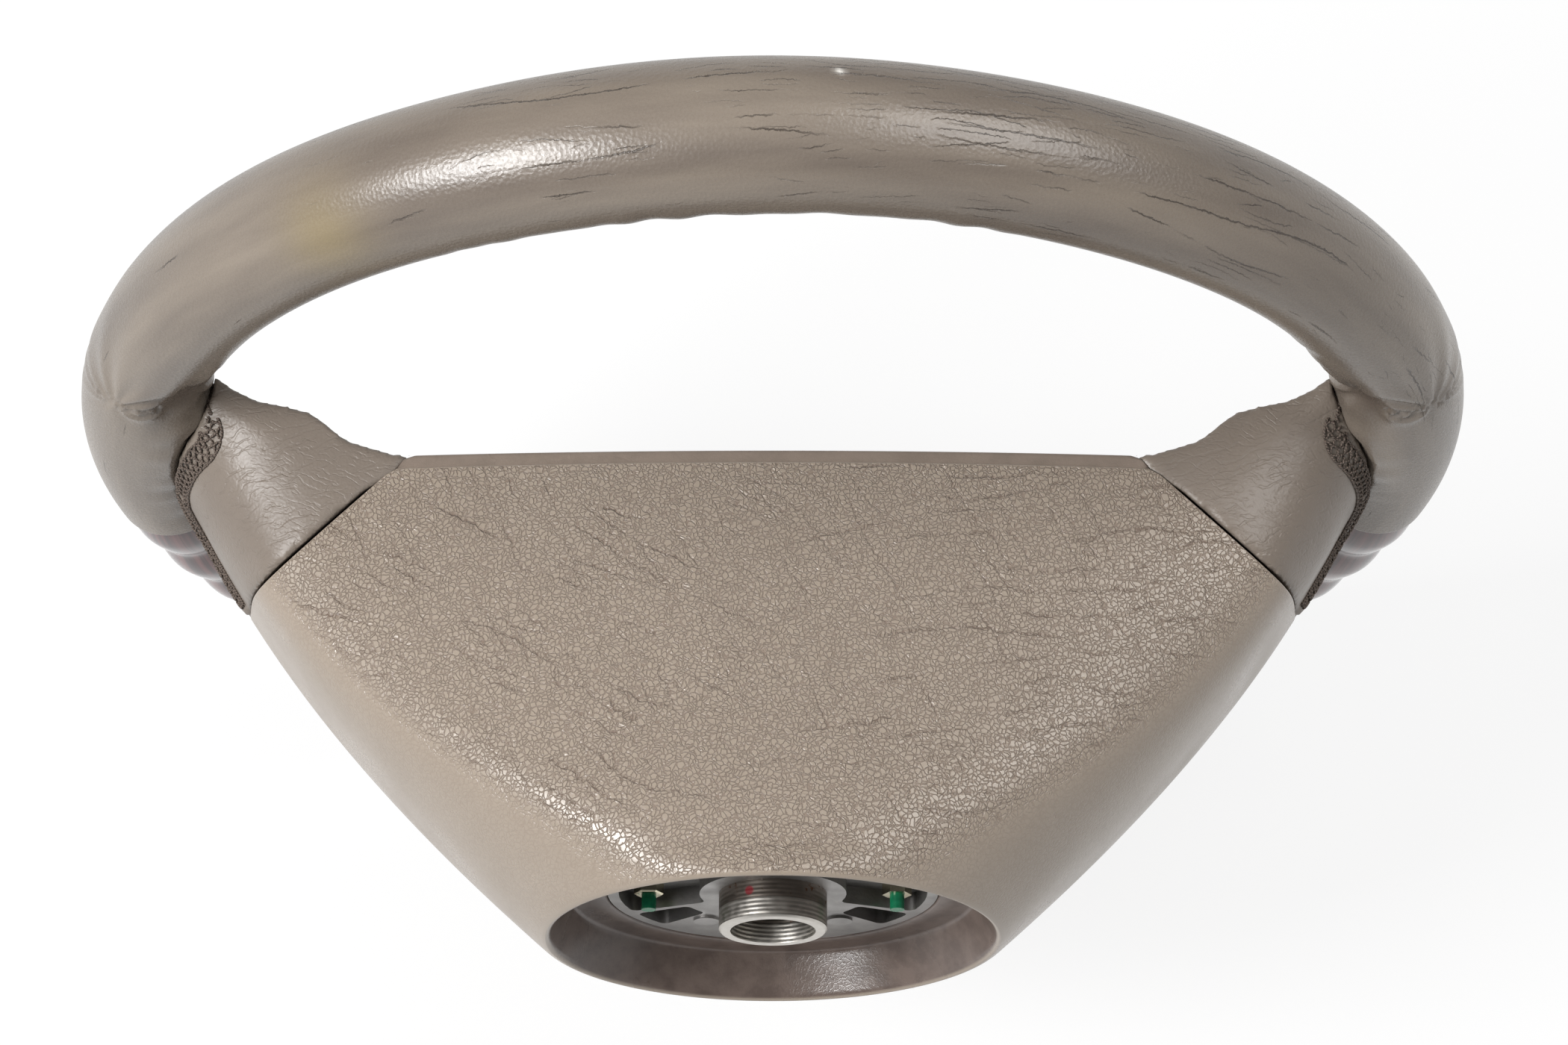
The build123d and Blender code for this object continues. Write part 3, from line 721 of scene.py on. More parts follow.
def outward(name: str, mesh: bpy.types.Mesh) -> Piece:
    """Merges doubles, turns faces outwards, shades smooth and links a mesh as an object.

    Args:
        name: the object's name.
        mesh: the mesh, with its place in its points.

    Returns:
        The linked object.
    """
    work = bmesh.new()
    work.from_mesh(mesh)
    bmesh.ops.remove_doubles(work, verts=work.verts, dist=1e-6)
    bmesh.ops.recalc_face_normals(work, faces=work.faces)
    work.to_mesh(mesh)
    work.free()
    mesh.shade_smooth()
    piece = bpy.data.objects.new(name, mesh)
    bpy.context.scene.collection.objects.link(piece)
    return piece


def resampled(points: Array, values: Array) -> tuple[Array, Array]:
    """Walks along a line in equal steps.

    Args:
        points: the line's points.
        values: one row of values for each point.

    Returns:
        Points PATH_STEP millimetres apart, and their values.
    """
    run = np.concatenate([[0], np.cumsum(np.linalg.norm(np.diff(points, axis=0), axis=1))])
    even = np.arange(0, run[-1], PATH_STEP)
    columns = np.concatenate([points, values], -1).T
    walked = np.stack([np.interp(even, run, column) for column in columns], -1)
    return walked[:, :3], walked[:, 3:]


def tubes(paths: Array, radius: float, sides: int) -> tuple[Array, Array, Array]:
    """Carries a round profile along many short paths at once.

    Each ring lies across the path's direction, and its two axes come from one fixed reference.

    Args:
        paths: the paths as (count, steps, 3) points.
        radius: the profile's radius.
        sides: the profile's corners.

    Returns:
        Points, quads, and for each quad's corners the length along the path and the turn round it.
    """
    count, steps = paths.shape[:2]
    along = unit(np.gradient(paths, axis=1))
    reference = np.broadcast_to([0.13, 0.31, 0.94], along.shape)
    one = unit(np.cross(along, reference))
    two = np.cross(along, one)
    turn = np.linspace(0, math.tau, sides, endpoint=False)
    ends = np.sin(np.linspace(0.12, math.pi - 0.12, steps)) ** 0.35
    ring = one[:, :, None] * np.cos(turn)[:, None] + two[:, :, None] * np.sin(turn)[:, None]
    points = paths[:, :, None] + radius * ends[None, :, None, None] * ring
    quads = grid_quads(steps, sides, False, True)
    quads = (quads[None] + (np.arange(count) * steps * sides)[:, None, None]).reshape(-1, 4)
    lengths = np.linalg.norm(np.diff(paths, axis=1), axis=-1)
    run = np.concatenate([np.zeros((count, 1)), np.cumsum(lengths, axis=1)], axis=1)
    around = np.arange(sides + 1) / sides
    pattern = np.stack(np.broadcast_arrays(run[:, :, None], around[None, None] * PER_METRE), -1)
    corner = grid_quads(steps, sides, False, True, sides + 1).reshape(-1)
    return points.reshape(-1, 3), quads, pattern.reshape(count, -1, 2)[:, corner].reshape(-1, 2)


def soft_copy(node: str, name: str, voxel: float, rounds: int) -> Piece:
    """Copies a CAD solid as one closed even mesh with softened edges.

    Args:
        node: the CAD node.
        name: the new piece's name.
        voxel: the mesh width in millimetres.
        rounds: the smoothing steps that soften the edges.

    Returns:
        The new piece.
    """
    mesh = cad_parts[node].data.copy()
    mesh.materials.clear()
    piece = outward(name + "_raw", mesh)
    remesh = piece.modifiers.new("even", "REMESH")
    remesh.mode, remesh.voxel_size = "VOXEL", voxel * MM
    smooth = piece.modifiers.new("soften", "SMOOTH")
    smooth.factor, smooth.iterations = 0.5, rounds
    graph = bpy.context.evaluated_depsgraph_get()
    even = bpy.data.meshes.new_from_object(piece.evaluated_get(graph))
    bpy.data.objects.remove(piece)
    bpy.data.meshes.remove(mesh)
    even.name = name
    return outward(name, even)


def mesh_values(piece: Piece, key: str) -> Array:
    """Reads three values for each of a piece's points.

    Args:
        piece: the piece.
        key: "co" for places in metres, "normal" for outward directions.

    Returns:
        One row for each point.
    """
    flat = np.zeros(len(piece.data.vertices) * 3, np.float32)
    piece.data.vertices.foreach_get(key, flat)
    return flat.reshape(-1, 3).astype(float)


def mesh_points(piece: Piece) -> Array:
    """Reads a piece's points in millimetres."""
    return mesh_values(piece, "co") / MM


def mesh_normals(piece: Piece) -> Array:
    """Reads the direction of the surface at a piece's points."""
    return mesh_values(piece, "normal")


def move_points(piece: Piece, points: Array) -> None:
    """Writes a piece's points, given in millimetres."""
    piece.data.vertices.foreach_set("co", (points * MM).astype(np.float32).reshape(-1))
    piece.data.update()


def mark_points(piece: Piece, name: str, values: Array) -> None:
    """Writes one value for each point, for a material to read."""
    layer = piece.data.attributes.new(name, "FLOAT", "POINT")
    layer.data.foreach_set("value", values.astype(np.float32))


def settle(piece: Piece, body: Body, slot: str, finish: Finish, *nodes: str) -> None:
    """Dresses a piece, puts it on its body and hides the CAD nodes that it replaces.

    Args:
        piece: the finished piece.
        body: the CAD body it rides on.
        slot: the record's material slot; not used.
        finish: its material.
        nodes: the CAD nodes that it replaces.
    """
    finish.dress(piece)
    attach(piece, body.value)
    if nodes:
        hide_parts(*nodes)
    LOG.info("%s: %d faces", piece.name, len(piece.data.polygons))


@dataclass
class Rim:
    """The rim: a ring of oval section, leather above and wood with finger waves below.

    Rows of the wear table: degrees round the wheel and their reach, degrees round the section and theirs, amount.
    """

    radius: float = 177.9
    half_width: float = 17.1
    half_depth: float = 19.3
    dish: float = 146.0
    leather_end: float = 8.2
    wave_pitch: float = 6.8
    wave_count: int = 6
    wave_depth: float = 1.8
    notch_round: float = 0.015
    wood_inset: float = 0.05
    wood_edge: float = 0.6
    edge_round: float = 1.0
    wrinkle_height: float = 0.3
    pinch_at: Triple = (158.0, 130.0, 58.0)
    pinch_depth: float = 4.2
    pinch_width: float = 10.5
    fold_height: float = 0.8
    stain_at: Triple = (125.4, 311.7, 12.0)
    speck_at: Triple = (85.3, 28.5, 1.0)
    wear: tuple[tuple[float, ...], ...] = (
        (76.0, 13.0, 350.0, 34.0, 1.0),
        (52.0, 13.0, 338.0, 34.0, 0.8),
        (72.0, 44.0, 28.0, 30.0, 0.95),
        (104.0, 12.0, 335.0, 26.0, 0.6),
        (24.0, 14.0, 310.0, 40.0, 0.6),
        (66.0, 30.0, 290.0, 20.0, 0.55),
    )

    def spot(self, points: Array, at: float, facing: float, size: float) -> Array:
        """A round mark on the tube that fades outwards as a bell of the distance.

        Args:
            points: points of the tube.
            at: degrees round the wheel.
            facing: degrees round the section.
            size: the bell's width.

        Returns:
            One value for each point.
        """
        middle = self.tube(np.radians(at), np.radians(facing), np.zeros(()))
        return np.exp(-((np.linalg.norm(points - middle, axis=-1) / size) ** 2))

    def tube(self, angle: Array, turn: Array, grow: Array) -> Array:
        """Points of the tube: the oval section, grown outwards, carried round the column axis.

        Args:
            angle: the place round the wheel from three o'clock to twelve.
            turn: the place round the section, from the outside to the driver's side.
            grow: millimetres outwards.

        Returns:
            X, Y and Z in the last axis.
        """
        out = self.radius + (self.half_width + grow) * np.cos(turn)
        deep = self.dish + (self.half_depth + grow) * np.sin(turn)
        return np.stack(np.broadcast_arrays(out * np.cos(angle), deep, out * np.sin(angle)), -1)

    def inside(self, points: Array) -> Array:
        """The section's oval equation: below zero inside the tube, zero on it."""
        out = np.hypot(points[..., 0], points[..., 2]) - self.radius
        return (out / self.half_width) ** 2 + ((points[..., 1] - self.dish) / self.half_depth) ** 2 - 1

    def normal(self, points: Array) -> Array:
        """The outward direction of the tube, which is the slope of the section's equation.

        Args:
            points: points on the tube.

        Returns:
            Unit vectors in the last axis.
        """
        away = np.hypot(points[..., 0], points[..., 2])
        out = (away - self.radius) / self.half_width**2 / away
        deep = (points[..., 1] - self.dish) / self.half_depth**2
        return unit(np.stack([points[..., 0] * out, deep, points[..., 2] * out], -1))

    def ends(self, angle: Array, low: float, high: float) -> Array:
        """How far the section draws in at rounded ends: a quarter circle over the last edge_round millimetres.

        Args:
            angle: the place round the wheel.
            low: the first angle.
            high: the last angle.

        Returns:
            Millimetres inwards.
        """
        near = np.minimum(angle - low, high - angle) * self.radius
        part = np.clip(1 - near / self.edge_round, 0, 1)
        return self.edge_round * (1 - np.sqrt(1 - part**2))

    def stations(self, low: float, high: float, count: int) -> Array:
        """Angles along the rim, close together at both ends, and twice at each end for the closing row.

        Args:
            low: the first angle.
            high: the last angle.
            count: the number of angles between the ends.

        Returns:
            The angles.
        """
        edge = np.array([0, 0.08, 0.2, 0.4, 0.7, 1.0, 1.4]) * self.edge_round / self.radius
        middle = np.linspace(low + edge[-1] * 2, high - edge[-1] * 2, count)
        return np.concatenate([[low], low + edge, middle, high - edge[::-1], [high]])

    def pattern(self, angle: Array, turns: int) -> Array:
        """Lengths along the rim and round its section, for patterns that follow the surface.

        Args:
            angle: the grid's angles round the wheel.
            turns: the grid's points round the section.

        Returns:
            Two lengths in millimetres for each point, with the first column again at the end.
        """
        round_section = math.tau * math.sqrt((self.half_width**2 + self.half_depth**2) / 2)
        along = (angle - angle[0]) * self.radius
        return np.stack(np.meshgrid(along, np.linspace(0, round_section, turns + 1), indexing="ij"), -1)

    def relief(self, angle: Array, turn: Array) -> Array:
        """Lumps of the padding, which are slow sine waves, and quick ones that come and go as wrinkles inside the rim.

        Args:
            angle: the place round the wheel.
            turn: the place round the section.

        Returns:
            Millimetres outwards.
        """
        arc = angle * self.radius
        lumps = 0.28 * np.sin(arc / 41 + 1.3 * np.sin(turn)) + 0.2 * np.sin(arc / 23 + 2.1 * np.cos(turn) + 0.7)
        wrinkle = np.sin(arc / 3.1 + 2.2 * np.sin(arc / 17) + 1.5 * turn)
        wrinkle = wrinkle + 0.7 * np.sin(arc / 1.9 + 3 * np.sin(arc / 29) - turn)
        inner = smoothstep(-0.2, 0.9, -np.cos(turn))
        shown = smoothstep(-0.3, 0.6, np.sin(arc / 37) + 0.5 * np.sin(arc / 11))
        return lumps + self.wrinkle_height * inner * wrinkle * shown

    def pinch(self, points: Array, side: Side) -> tuple[Array, Array]:
        """The hollow at a spoke's lacing, a bell of the distance, with folds round it as sine waves of the direction.

        Args:
            points: points of the tube.
            side: the spoke.

        Returns:
            Millimetres outwards, and the painted shade in the hollow.
        """
        away = points - np.array(self.pinch_at) * [side.value, 1, 1]
        far = np.linalg.norm(away, axis=-1)
        way = np.arctan2(away[..., 1], away[..., 2])
        folds = np.sin(11 * way + 2 * np.sin(3 * way)) * smoothstep(5, 10, far) * np.exp(-((far / 24) ** 2))
        hollow = self.pinch_depth * np.exp(-((far / self.pinch_width) ** 2))
        # The second value is painted shade, darkest in the middle of the hollow.
        return self.fold_height * folds - hollow, 0.6 * np.exp(-((far / 10.0) ** 2))

    def worn(self, angle: Array, turn: Array) -> Array:
        """How cracked the leather is: the highest of the wear table's bells.

        Args:
            angle: the place round the wheel.
            turn: the place round the section.

        Returns:
            One value for each point.
        """
        bells = []
        for at, reach, facing, spread, amount in self.wear:
            turned = np.angle(np.exp(1j * (turn - math.radians(facing))))
            far = ((angle - math.radians(at)) / math.radians(reach)) ** 2 + (turned / math.radians(spread)) ** 2
            bells.append(amount * np.exp(-far))
        return np.max(bells, 0)

    def leather(self, flare: Callable[[Array, Side], Array]) -> Piece:
        """The wrapped upper part: the tube with its relief, hollows at the lacing and flares to the spokes.

        Args:
            flare: gives how far points near a spoke's lacing are pulled out.

        Returns:
            The wrap.
        """
        low, high = math.radians(-self.leather_end), math.radians(180 + self.leather_end)
        angle = self.stations(low, high, count=520)
        turns = 132
        turn = 0.7 * math.pi + np.linspace(0, math.tau, turns, endpoint=False)
        a, t = angle[:, None], turn[None]
        grow = self.relief(a, t) - self.ends(a, low, high)
        points = self.tube(a, t, grow)
        (left, left_shade), (right, right_shade) = (self.pinch(points, side) for side in Side)
        points = self.tube(a, t, grow + left + right)
        flat = points.reshape(-1, 3)
        points = (flat + flare(flat, Side.LEFT) + flare(flat, Side.RIGHT)).reshape(points.shape)
        points[[0, -1]] = self.tube(angle[[0, -1], None], t * 0, -self.half_width)
        marks = {
            "worn": self.worn(a, t),
            "stain": 0.4 * self.spot(points, *self.stain_at),
            "speck": self.spot(points, *self.speck_at),
            # Painted shade in the hollows at the lacing.
            "hollow_shade": np.maximum(left_shade, right_shade),
        }
        surface = Surface(points, wrap_columns=True, marks=marks, pattern=self.pattern(angle, turns))
        piece = surface.piece("rim_wrap")
        settle(piece, Body.WHEEL, "rim_leather", RIM_LEATHER, "rim_leather")
        return piece

    def wood(self) -> Piece:
        """The lower grip: finger waves that fall as parabolas from broad crests to rounded notches.

        Returns:
            The grip.
        """
        low, high = math.radians(180 + self.leather_end), math.radians(360 - self.leather_end)
        angle = self.stations(low, high, count=420)
        turns = 112
        turn = np.linspace(0, math.tau, turns, endpoint=False)
        a, t = angle[:, None], turn[None]
        below = np.minimum(np.degrees(a) - 180, 360 - np.degrees(a)) - self.leather_end
        step = below / self.wave_pitch + 0.5
        from_crest = 2 * np.abs(step - np.round(step))
        rounded = 1 - np.sqrt((1 - from_crest) ** 2 + self.notch_round) + math.sqrt(self.notch_round)
        wave = np.where(step < self.wave_count, self.wave_depth * np.clip(rounded, 0, 1) ** 2, 0)
        points = self.tube(a, t, -wave - self.wood_edge * self.ends(a, low, high) - self.wood_inset)
        points[[0, -1]] = self.tube(angle[[0, -1], None], t * 0, -self.half_width)
        piece = Surface(points, wrap_columns=True, pattern=self.pattern(angle, turns)).piece("wood_rim")
        settle(piece, Body.WHEEL, "lacquered_wood", WOOD, "wood_grip")
        return piece


@dataclass
class Funnel:
    """The outer form of shroud and spokes: round at the boss lip, wide and square to the rim, with an arched top."""

    lip_radius: float = 62.3
    lip_y: float = -3.0
    front_y: float = 152.0
    width_flare: float = 1.0744
    width_bend: float = 0.00212
    height_flare: float = 0.30
    height_bend: float = 0.00104
    centre_drop: float = 0.085
    centre_bend: float = 0.00022
    squareness: float = 0.0145
    top_edge_z: float = 45.0
    top_edge_y: float = 118.0
    top_slope: float = 0.148
    top_arch: float = 0.0000155
    ridge_sharpness: float = 20.0
    dish: float = 146.0
    round_run: float = 10.4
    seam_point: Triple = (101.0, 122.0, 41.0)
    seam_normal: Triple = (0.666, 0.689, 0.284)
    spoke_front: float = 157.5
    spoke_slope: float = 0.41

    def surface(self, y: Array, angle: Array, inset: Array | float = 0.0) -> Array:
        """Points of the form: at each Y a superellipse, met by the arch of the top in a rounded ridge.

        Args:
            y: the place along the column axis.
            angle: the place round the section from +X to +Z.
            inset: millimetres inwards.

        Returns:
            X, Y and Z in the last axis.
        """
        run = np.maximum(y - self.lip_y, 0)
        half_x = self.lip_radius + self.width_flare * run - self.width_bend * run**2 - inset
        half_z = self.lip_radius + self.height_flare * run - self.height_bend * run**2 - inset
        middle = self.centre_bend * run**2 - self.centre_drop * run
        power = 2 + self.squareness * run
        across, up = np.cos(angle), np.sin(angle)
        side = (np.abs(across / half_x) ** power + np.abs(up / half_z) ** power) ** (-1 / power)
        room = self.top_edge_z + self.top_slope * (self.top_edge_y - y) - inset - middle
        arch = np.maximum(self.top_arch * (self.dish - y), 0) * across**2
        top = 2 * room / np.maximum(up + np.sqrt(up**2 + 4 * arch * room), 1e-6)
        sharp = self.ridge_sharpness
        reach = side * (1 + (side / top) ** sharp) ** (-1 / sharp)
        part = smoothstep(0, self.round_run, run)
        reach = side + (reach - side) * part
        return np.stack(np.broadcast_arrays(reach * across, y, middle + reach * up), -1)

    def normal(self, y: Array, angle: Array) -> Array:
        """The outward direction, from the differences of neighbouring points.

        Args:
            y: the place along the column axis.
            angle: the place round the section.

        Returns:
            Unit vectors in the last axis.
        """
        step_y, step_angle = 0.2, 0.003
        along = self.surface(y + step_y, angle) - self.surface(y - step_y, angle)
        around = self.surface(y, angle + step_angle) - self.surface(y, angle - step_angle)
        return unit(np.cross(along, around))

    def beyond_seam(self, points: Array, side: Side) -> Array:
        """Distance from a seam plane.

        Args:
            points: any points.
            side: the spoke whose seam it is.

        Returns:
            One distance for each point, above zero on the hub's side.
        """
        x, y, z = np.moveaxis(points, -1, 0)
        away = self.seam_normal[0] * (self.seam_point[0] - side.value * x)
        return away - self.seam_normal[1] * (y - self.seam_point[1]) - self.seam_normal[2] * (z - self.seam_point[2])

    def crossing(self, test: Callable[[Array], Array], angle: Array, inset: float = 0.0) -> Array:
        """The first Y at each angle where a test of the points falls below zero, or the front where none does.

        Args:
            test: gives one value for each point.
            angle: the places round the section.
            inset: millimetres inwards.

        Returns:
            One Y for each angle.
        """
        y = np.linspace(self.lip_y + 0.5, self.front_y, 1200)
        value = test(self.surface(y[:, None], angle[None], inset))
        below = value < 0
        first = np.where(below.any(0), np.argmax(below, 0), len(y) - 1)
        column = np.arange(len(angle))
        before, after = value[first - 1, column], value[first, column]
        part = np.clip(before / np.where(before == after, 1, before - after), 0, 1)
        return y[first - 1] + part * (y[first] - y[first - 1])


@dataclass
class Shroud:
    """The rear shroud: grained skin from the boss lip to the seams, a smooth front strip, and the boss mouth.

    Rows of lip: run from the lip and inset. Rows of edge: run back from the skin's end and share of the step.
    """

    form: Funnel
    wall: float = 4.0
    strip_y: float = 119.3
    strip_step: float = 1.2
    front_y: float = 123.5
    floor_y: float = 10.0
    flange_y: float = 12.5
    bore: float = 45.2
    floor_radius: float = 55.8
    mouth: float = 60.3
    lip: tuple[tuple[float, float], ...] = ((0.06, 0.75), (0.25, 0.42), (0.6, 0.18), (1.1, 0.04), (1.8, 0.0))
    lip_run: float = 2.6
    edge: tuple[tuple[float, float], ...] = ((0.32, 0.04), (0.16, 0.12), (0.05, 0.26), (0.0, 0.5))
    edge_run: float = 0.5
    edge_round: float = 0.3
    least_step: float = 0.7
    edge_grain: float = 0.12
    strip_darkening: float = 0.55
    nub_height: float = 0.55
    nub_width: float = 1.3
    columns: int = 480
    rows: int = 132
    inner_rows: int = 24

    def mouth_profile(self) -> Array:
        """The mouth's profile, from the flange's front over the floor and the wall to the top of the lip.

        Returns:
            Radius and Y of each row.
        """
        floor, lip = self.floor_y, self.form.lip_y
        return np.array(
            [
                (self.bore, self.flange_y),
                (self.bore, floor + 0.7),
                (self.bore + 0.2, floor + 0.2),
                (self.bore + 0.7, floor),
                (self.bore + 5.0, floor),
                (self.floor_radius - 1.2, floor),
                (self.floor_radius - 0.3, floor - 0.2),
                (self.floor_radius + 0.1, floor - 0.8),
                (self.floor_radius + 0.4, floor - 1.8),
                (self.mouth - 1.9, lip + 6.2),
                (self.mouth - 0.4, lip + 1.8),
                (self.mouth - 0.05, lip + 0.9),
                (self.mouth + 0.45, lip + 0.3),
                (self.mouth + 1.1, lip),
            ]
        )

    def limit(self, inset: float, front: float, angle: Array) -> Array:
        """Where the skin ends: at the front or at a seam, whichever comes first.

        Args:
            inset: millimetres inwards of the form.
            front: the front's Y.
            angle: the places round the section.

        Returns:
            One Y for each angle.
        """

        def test(points: Array) -> Array:
            """Falls below zero past the front or a seam."""
            seams = np.minimum(self.form.beyond_seam(points, Side.LEFT), self.form.beyond_seam(points, Side.RIGHT))
            return np.minimum(seams, front - points[..., 1])

        return self.form.crossing(test, angle, inset)

    def build(self) -> Piece:
        """Makes one closed grid from rows of the form: mouth, lip, outer skin, edge, strip and inner wall.

        Returns:
            The shroud.
        """
        angle = np.linspace(-math.pi / 2, 1.5 * math.pi, self.columns, endpoint=False)
        profile = self.mouth_profile()
        ring = np.stack([np.cos(angle), np.ones_like(angle), np.sin(angle)], -1)
        mouth = ring[None] * profile[:, [0, 1, 0]][:, None]
        run, inset = np.array(self.lip).T[:, :, None]
        lip = self.form.surface(self.form.lip_y + run, angle[None], inset)
        body_end = self.limit(0.0, self.strip_y, angle)
        strip_end = self.limit(self.strip_step, self.front_y, angle)
        strip = np.maximum(strip_end - body_end, 0) * smoothstep(self.strip_y - 1, self.strip_y, body_end)
        stepped = np.maximum(self.strip_step * smoothstep(0, 2.5, strip), self.least_step)
        start = self.form.lip_y + self.lip_run
        part = np.linspace(0, 1, self.rows)[:, None] ** 0.92
        outer = self.form.surface(start + (body_end - self.edge_run - start) * part, angle[None])
        back, drop = np.array(self.edge).T[:, :, None]
        edge = self.form.surface(body_end - back, angle[None], stepped * drop)
        along = np.array([0.0, 0.05, 0.25, 0.5, 0.75, 0.95])[:, None]
        front = self.form.surface(body_end + strip * along, angle[None], stepped[None])
        inner_end = self.limit(self.wall, self.front_y, angle)
        last = np.stack(
            [
                self.form.surface(body_end + strip, angle, stepped + self.edge_round),
                self.form.surface(inner_end, angle, self.wall - self.edge_round),
            ]
        )
        inwards = (self.flange_y - inner_end) * np.linspace(0, 1, self.inner_rows)[:, None]
        inner = self.form.surface(inner_end - self.edge_round + inwards, angle[None], self.wall)
        points = np.concatenate([mouth, lip, outer, edge, front, last, inner])
        skin_from = len(mouth) + len(lip)
        skin_to = skin_from + len(outer)
        grain = np.full(points.shape[:2], self.edge_grain)
        grain[skin_from - 2 : skin_to] = 1.0
        # The bare mark lays painted shade over the mouth's rows in full, and darkens the front strip and inner wall in
        # part.
        bare = np.zeros_like(grain)
        bare[: len(mouth) - 2] = 1.0
        bare[skin_to + 2 :] = self.strip_darkening
        surface = Surface(points, wrap_rows=True, wrap_columns=True, marks={"grain": grain, "bare": bare})
        piece = surface.piece("shroud")
        normals, places = mesh_normals(piece), mesh_points(piece)
        top = smoothstep(0.62, 0.93, normals[:, 2])
        mark_points(piece, "crease", 0.2 + 0.8 * top)
        worked = np.zeros(len(places), np.float32)
        piece.data.attributes["grain"].data.foreach_get("value", worked)
        piece.data.attributes["grain"].data.foreach_set("value", worked * (0.3 + 0.7 * top).astype(np.float32))
        move_points(piece, places + normals * self.nubs(places)[:, None])
        settle(piece, Body.WHEEL, "shroud_skin", SHROUD_SKIN, "rear_shroud")
        return piece

    def nubs(self, places: Array) -> Array:
        """Height of the moulding nubs: flat-topped bells on the lip at twelve and six o'clock.

        Args:
            places: points of the shroud.

        Returns:
            Millimetres outwards.
        """
        spots = np.array([[0.0, -1.2, self.form.lip_radius + 0.4], [-1.5, 0.6, 0.8 - self.mouth]])
        far = np.linalg.norm(places[:, None] - spots[None], axis=-1).min(1)
        return self.nub_height * np.exp(-((far / self.nub_width) ** 4))


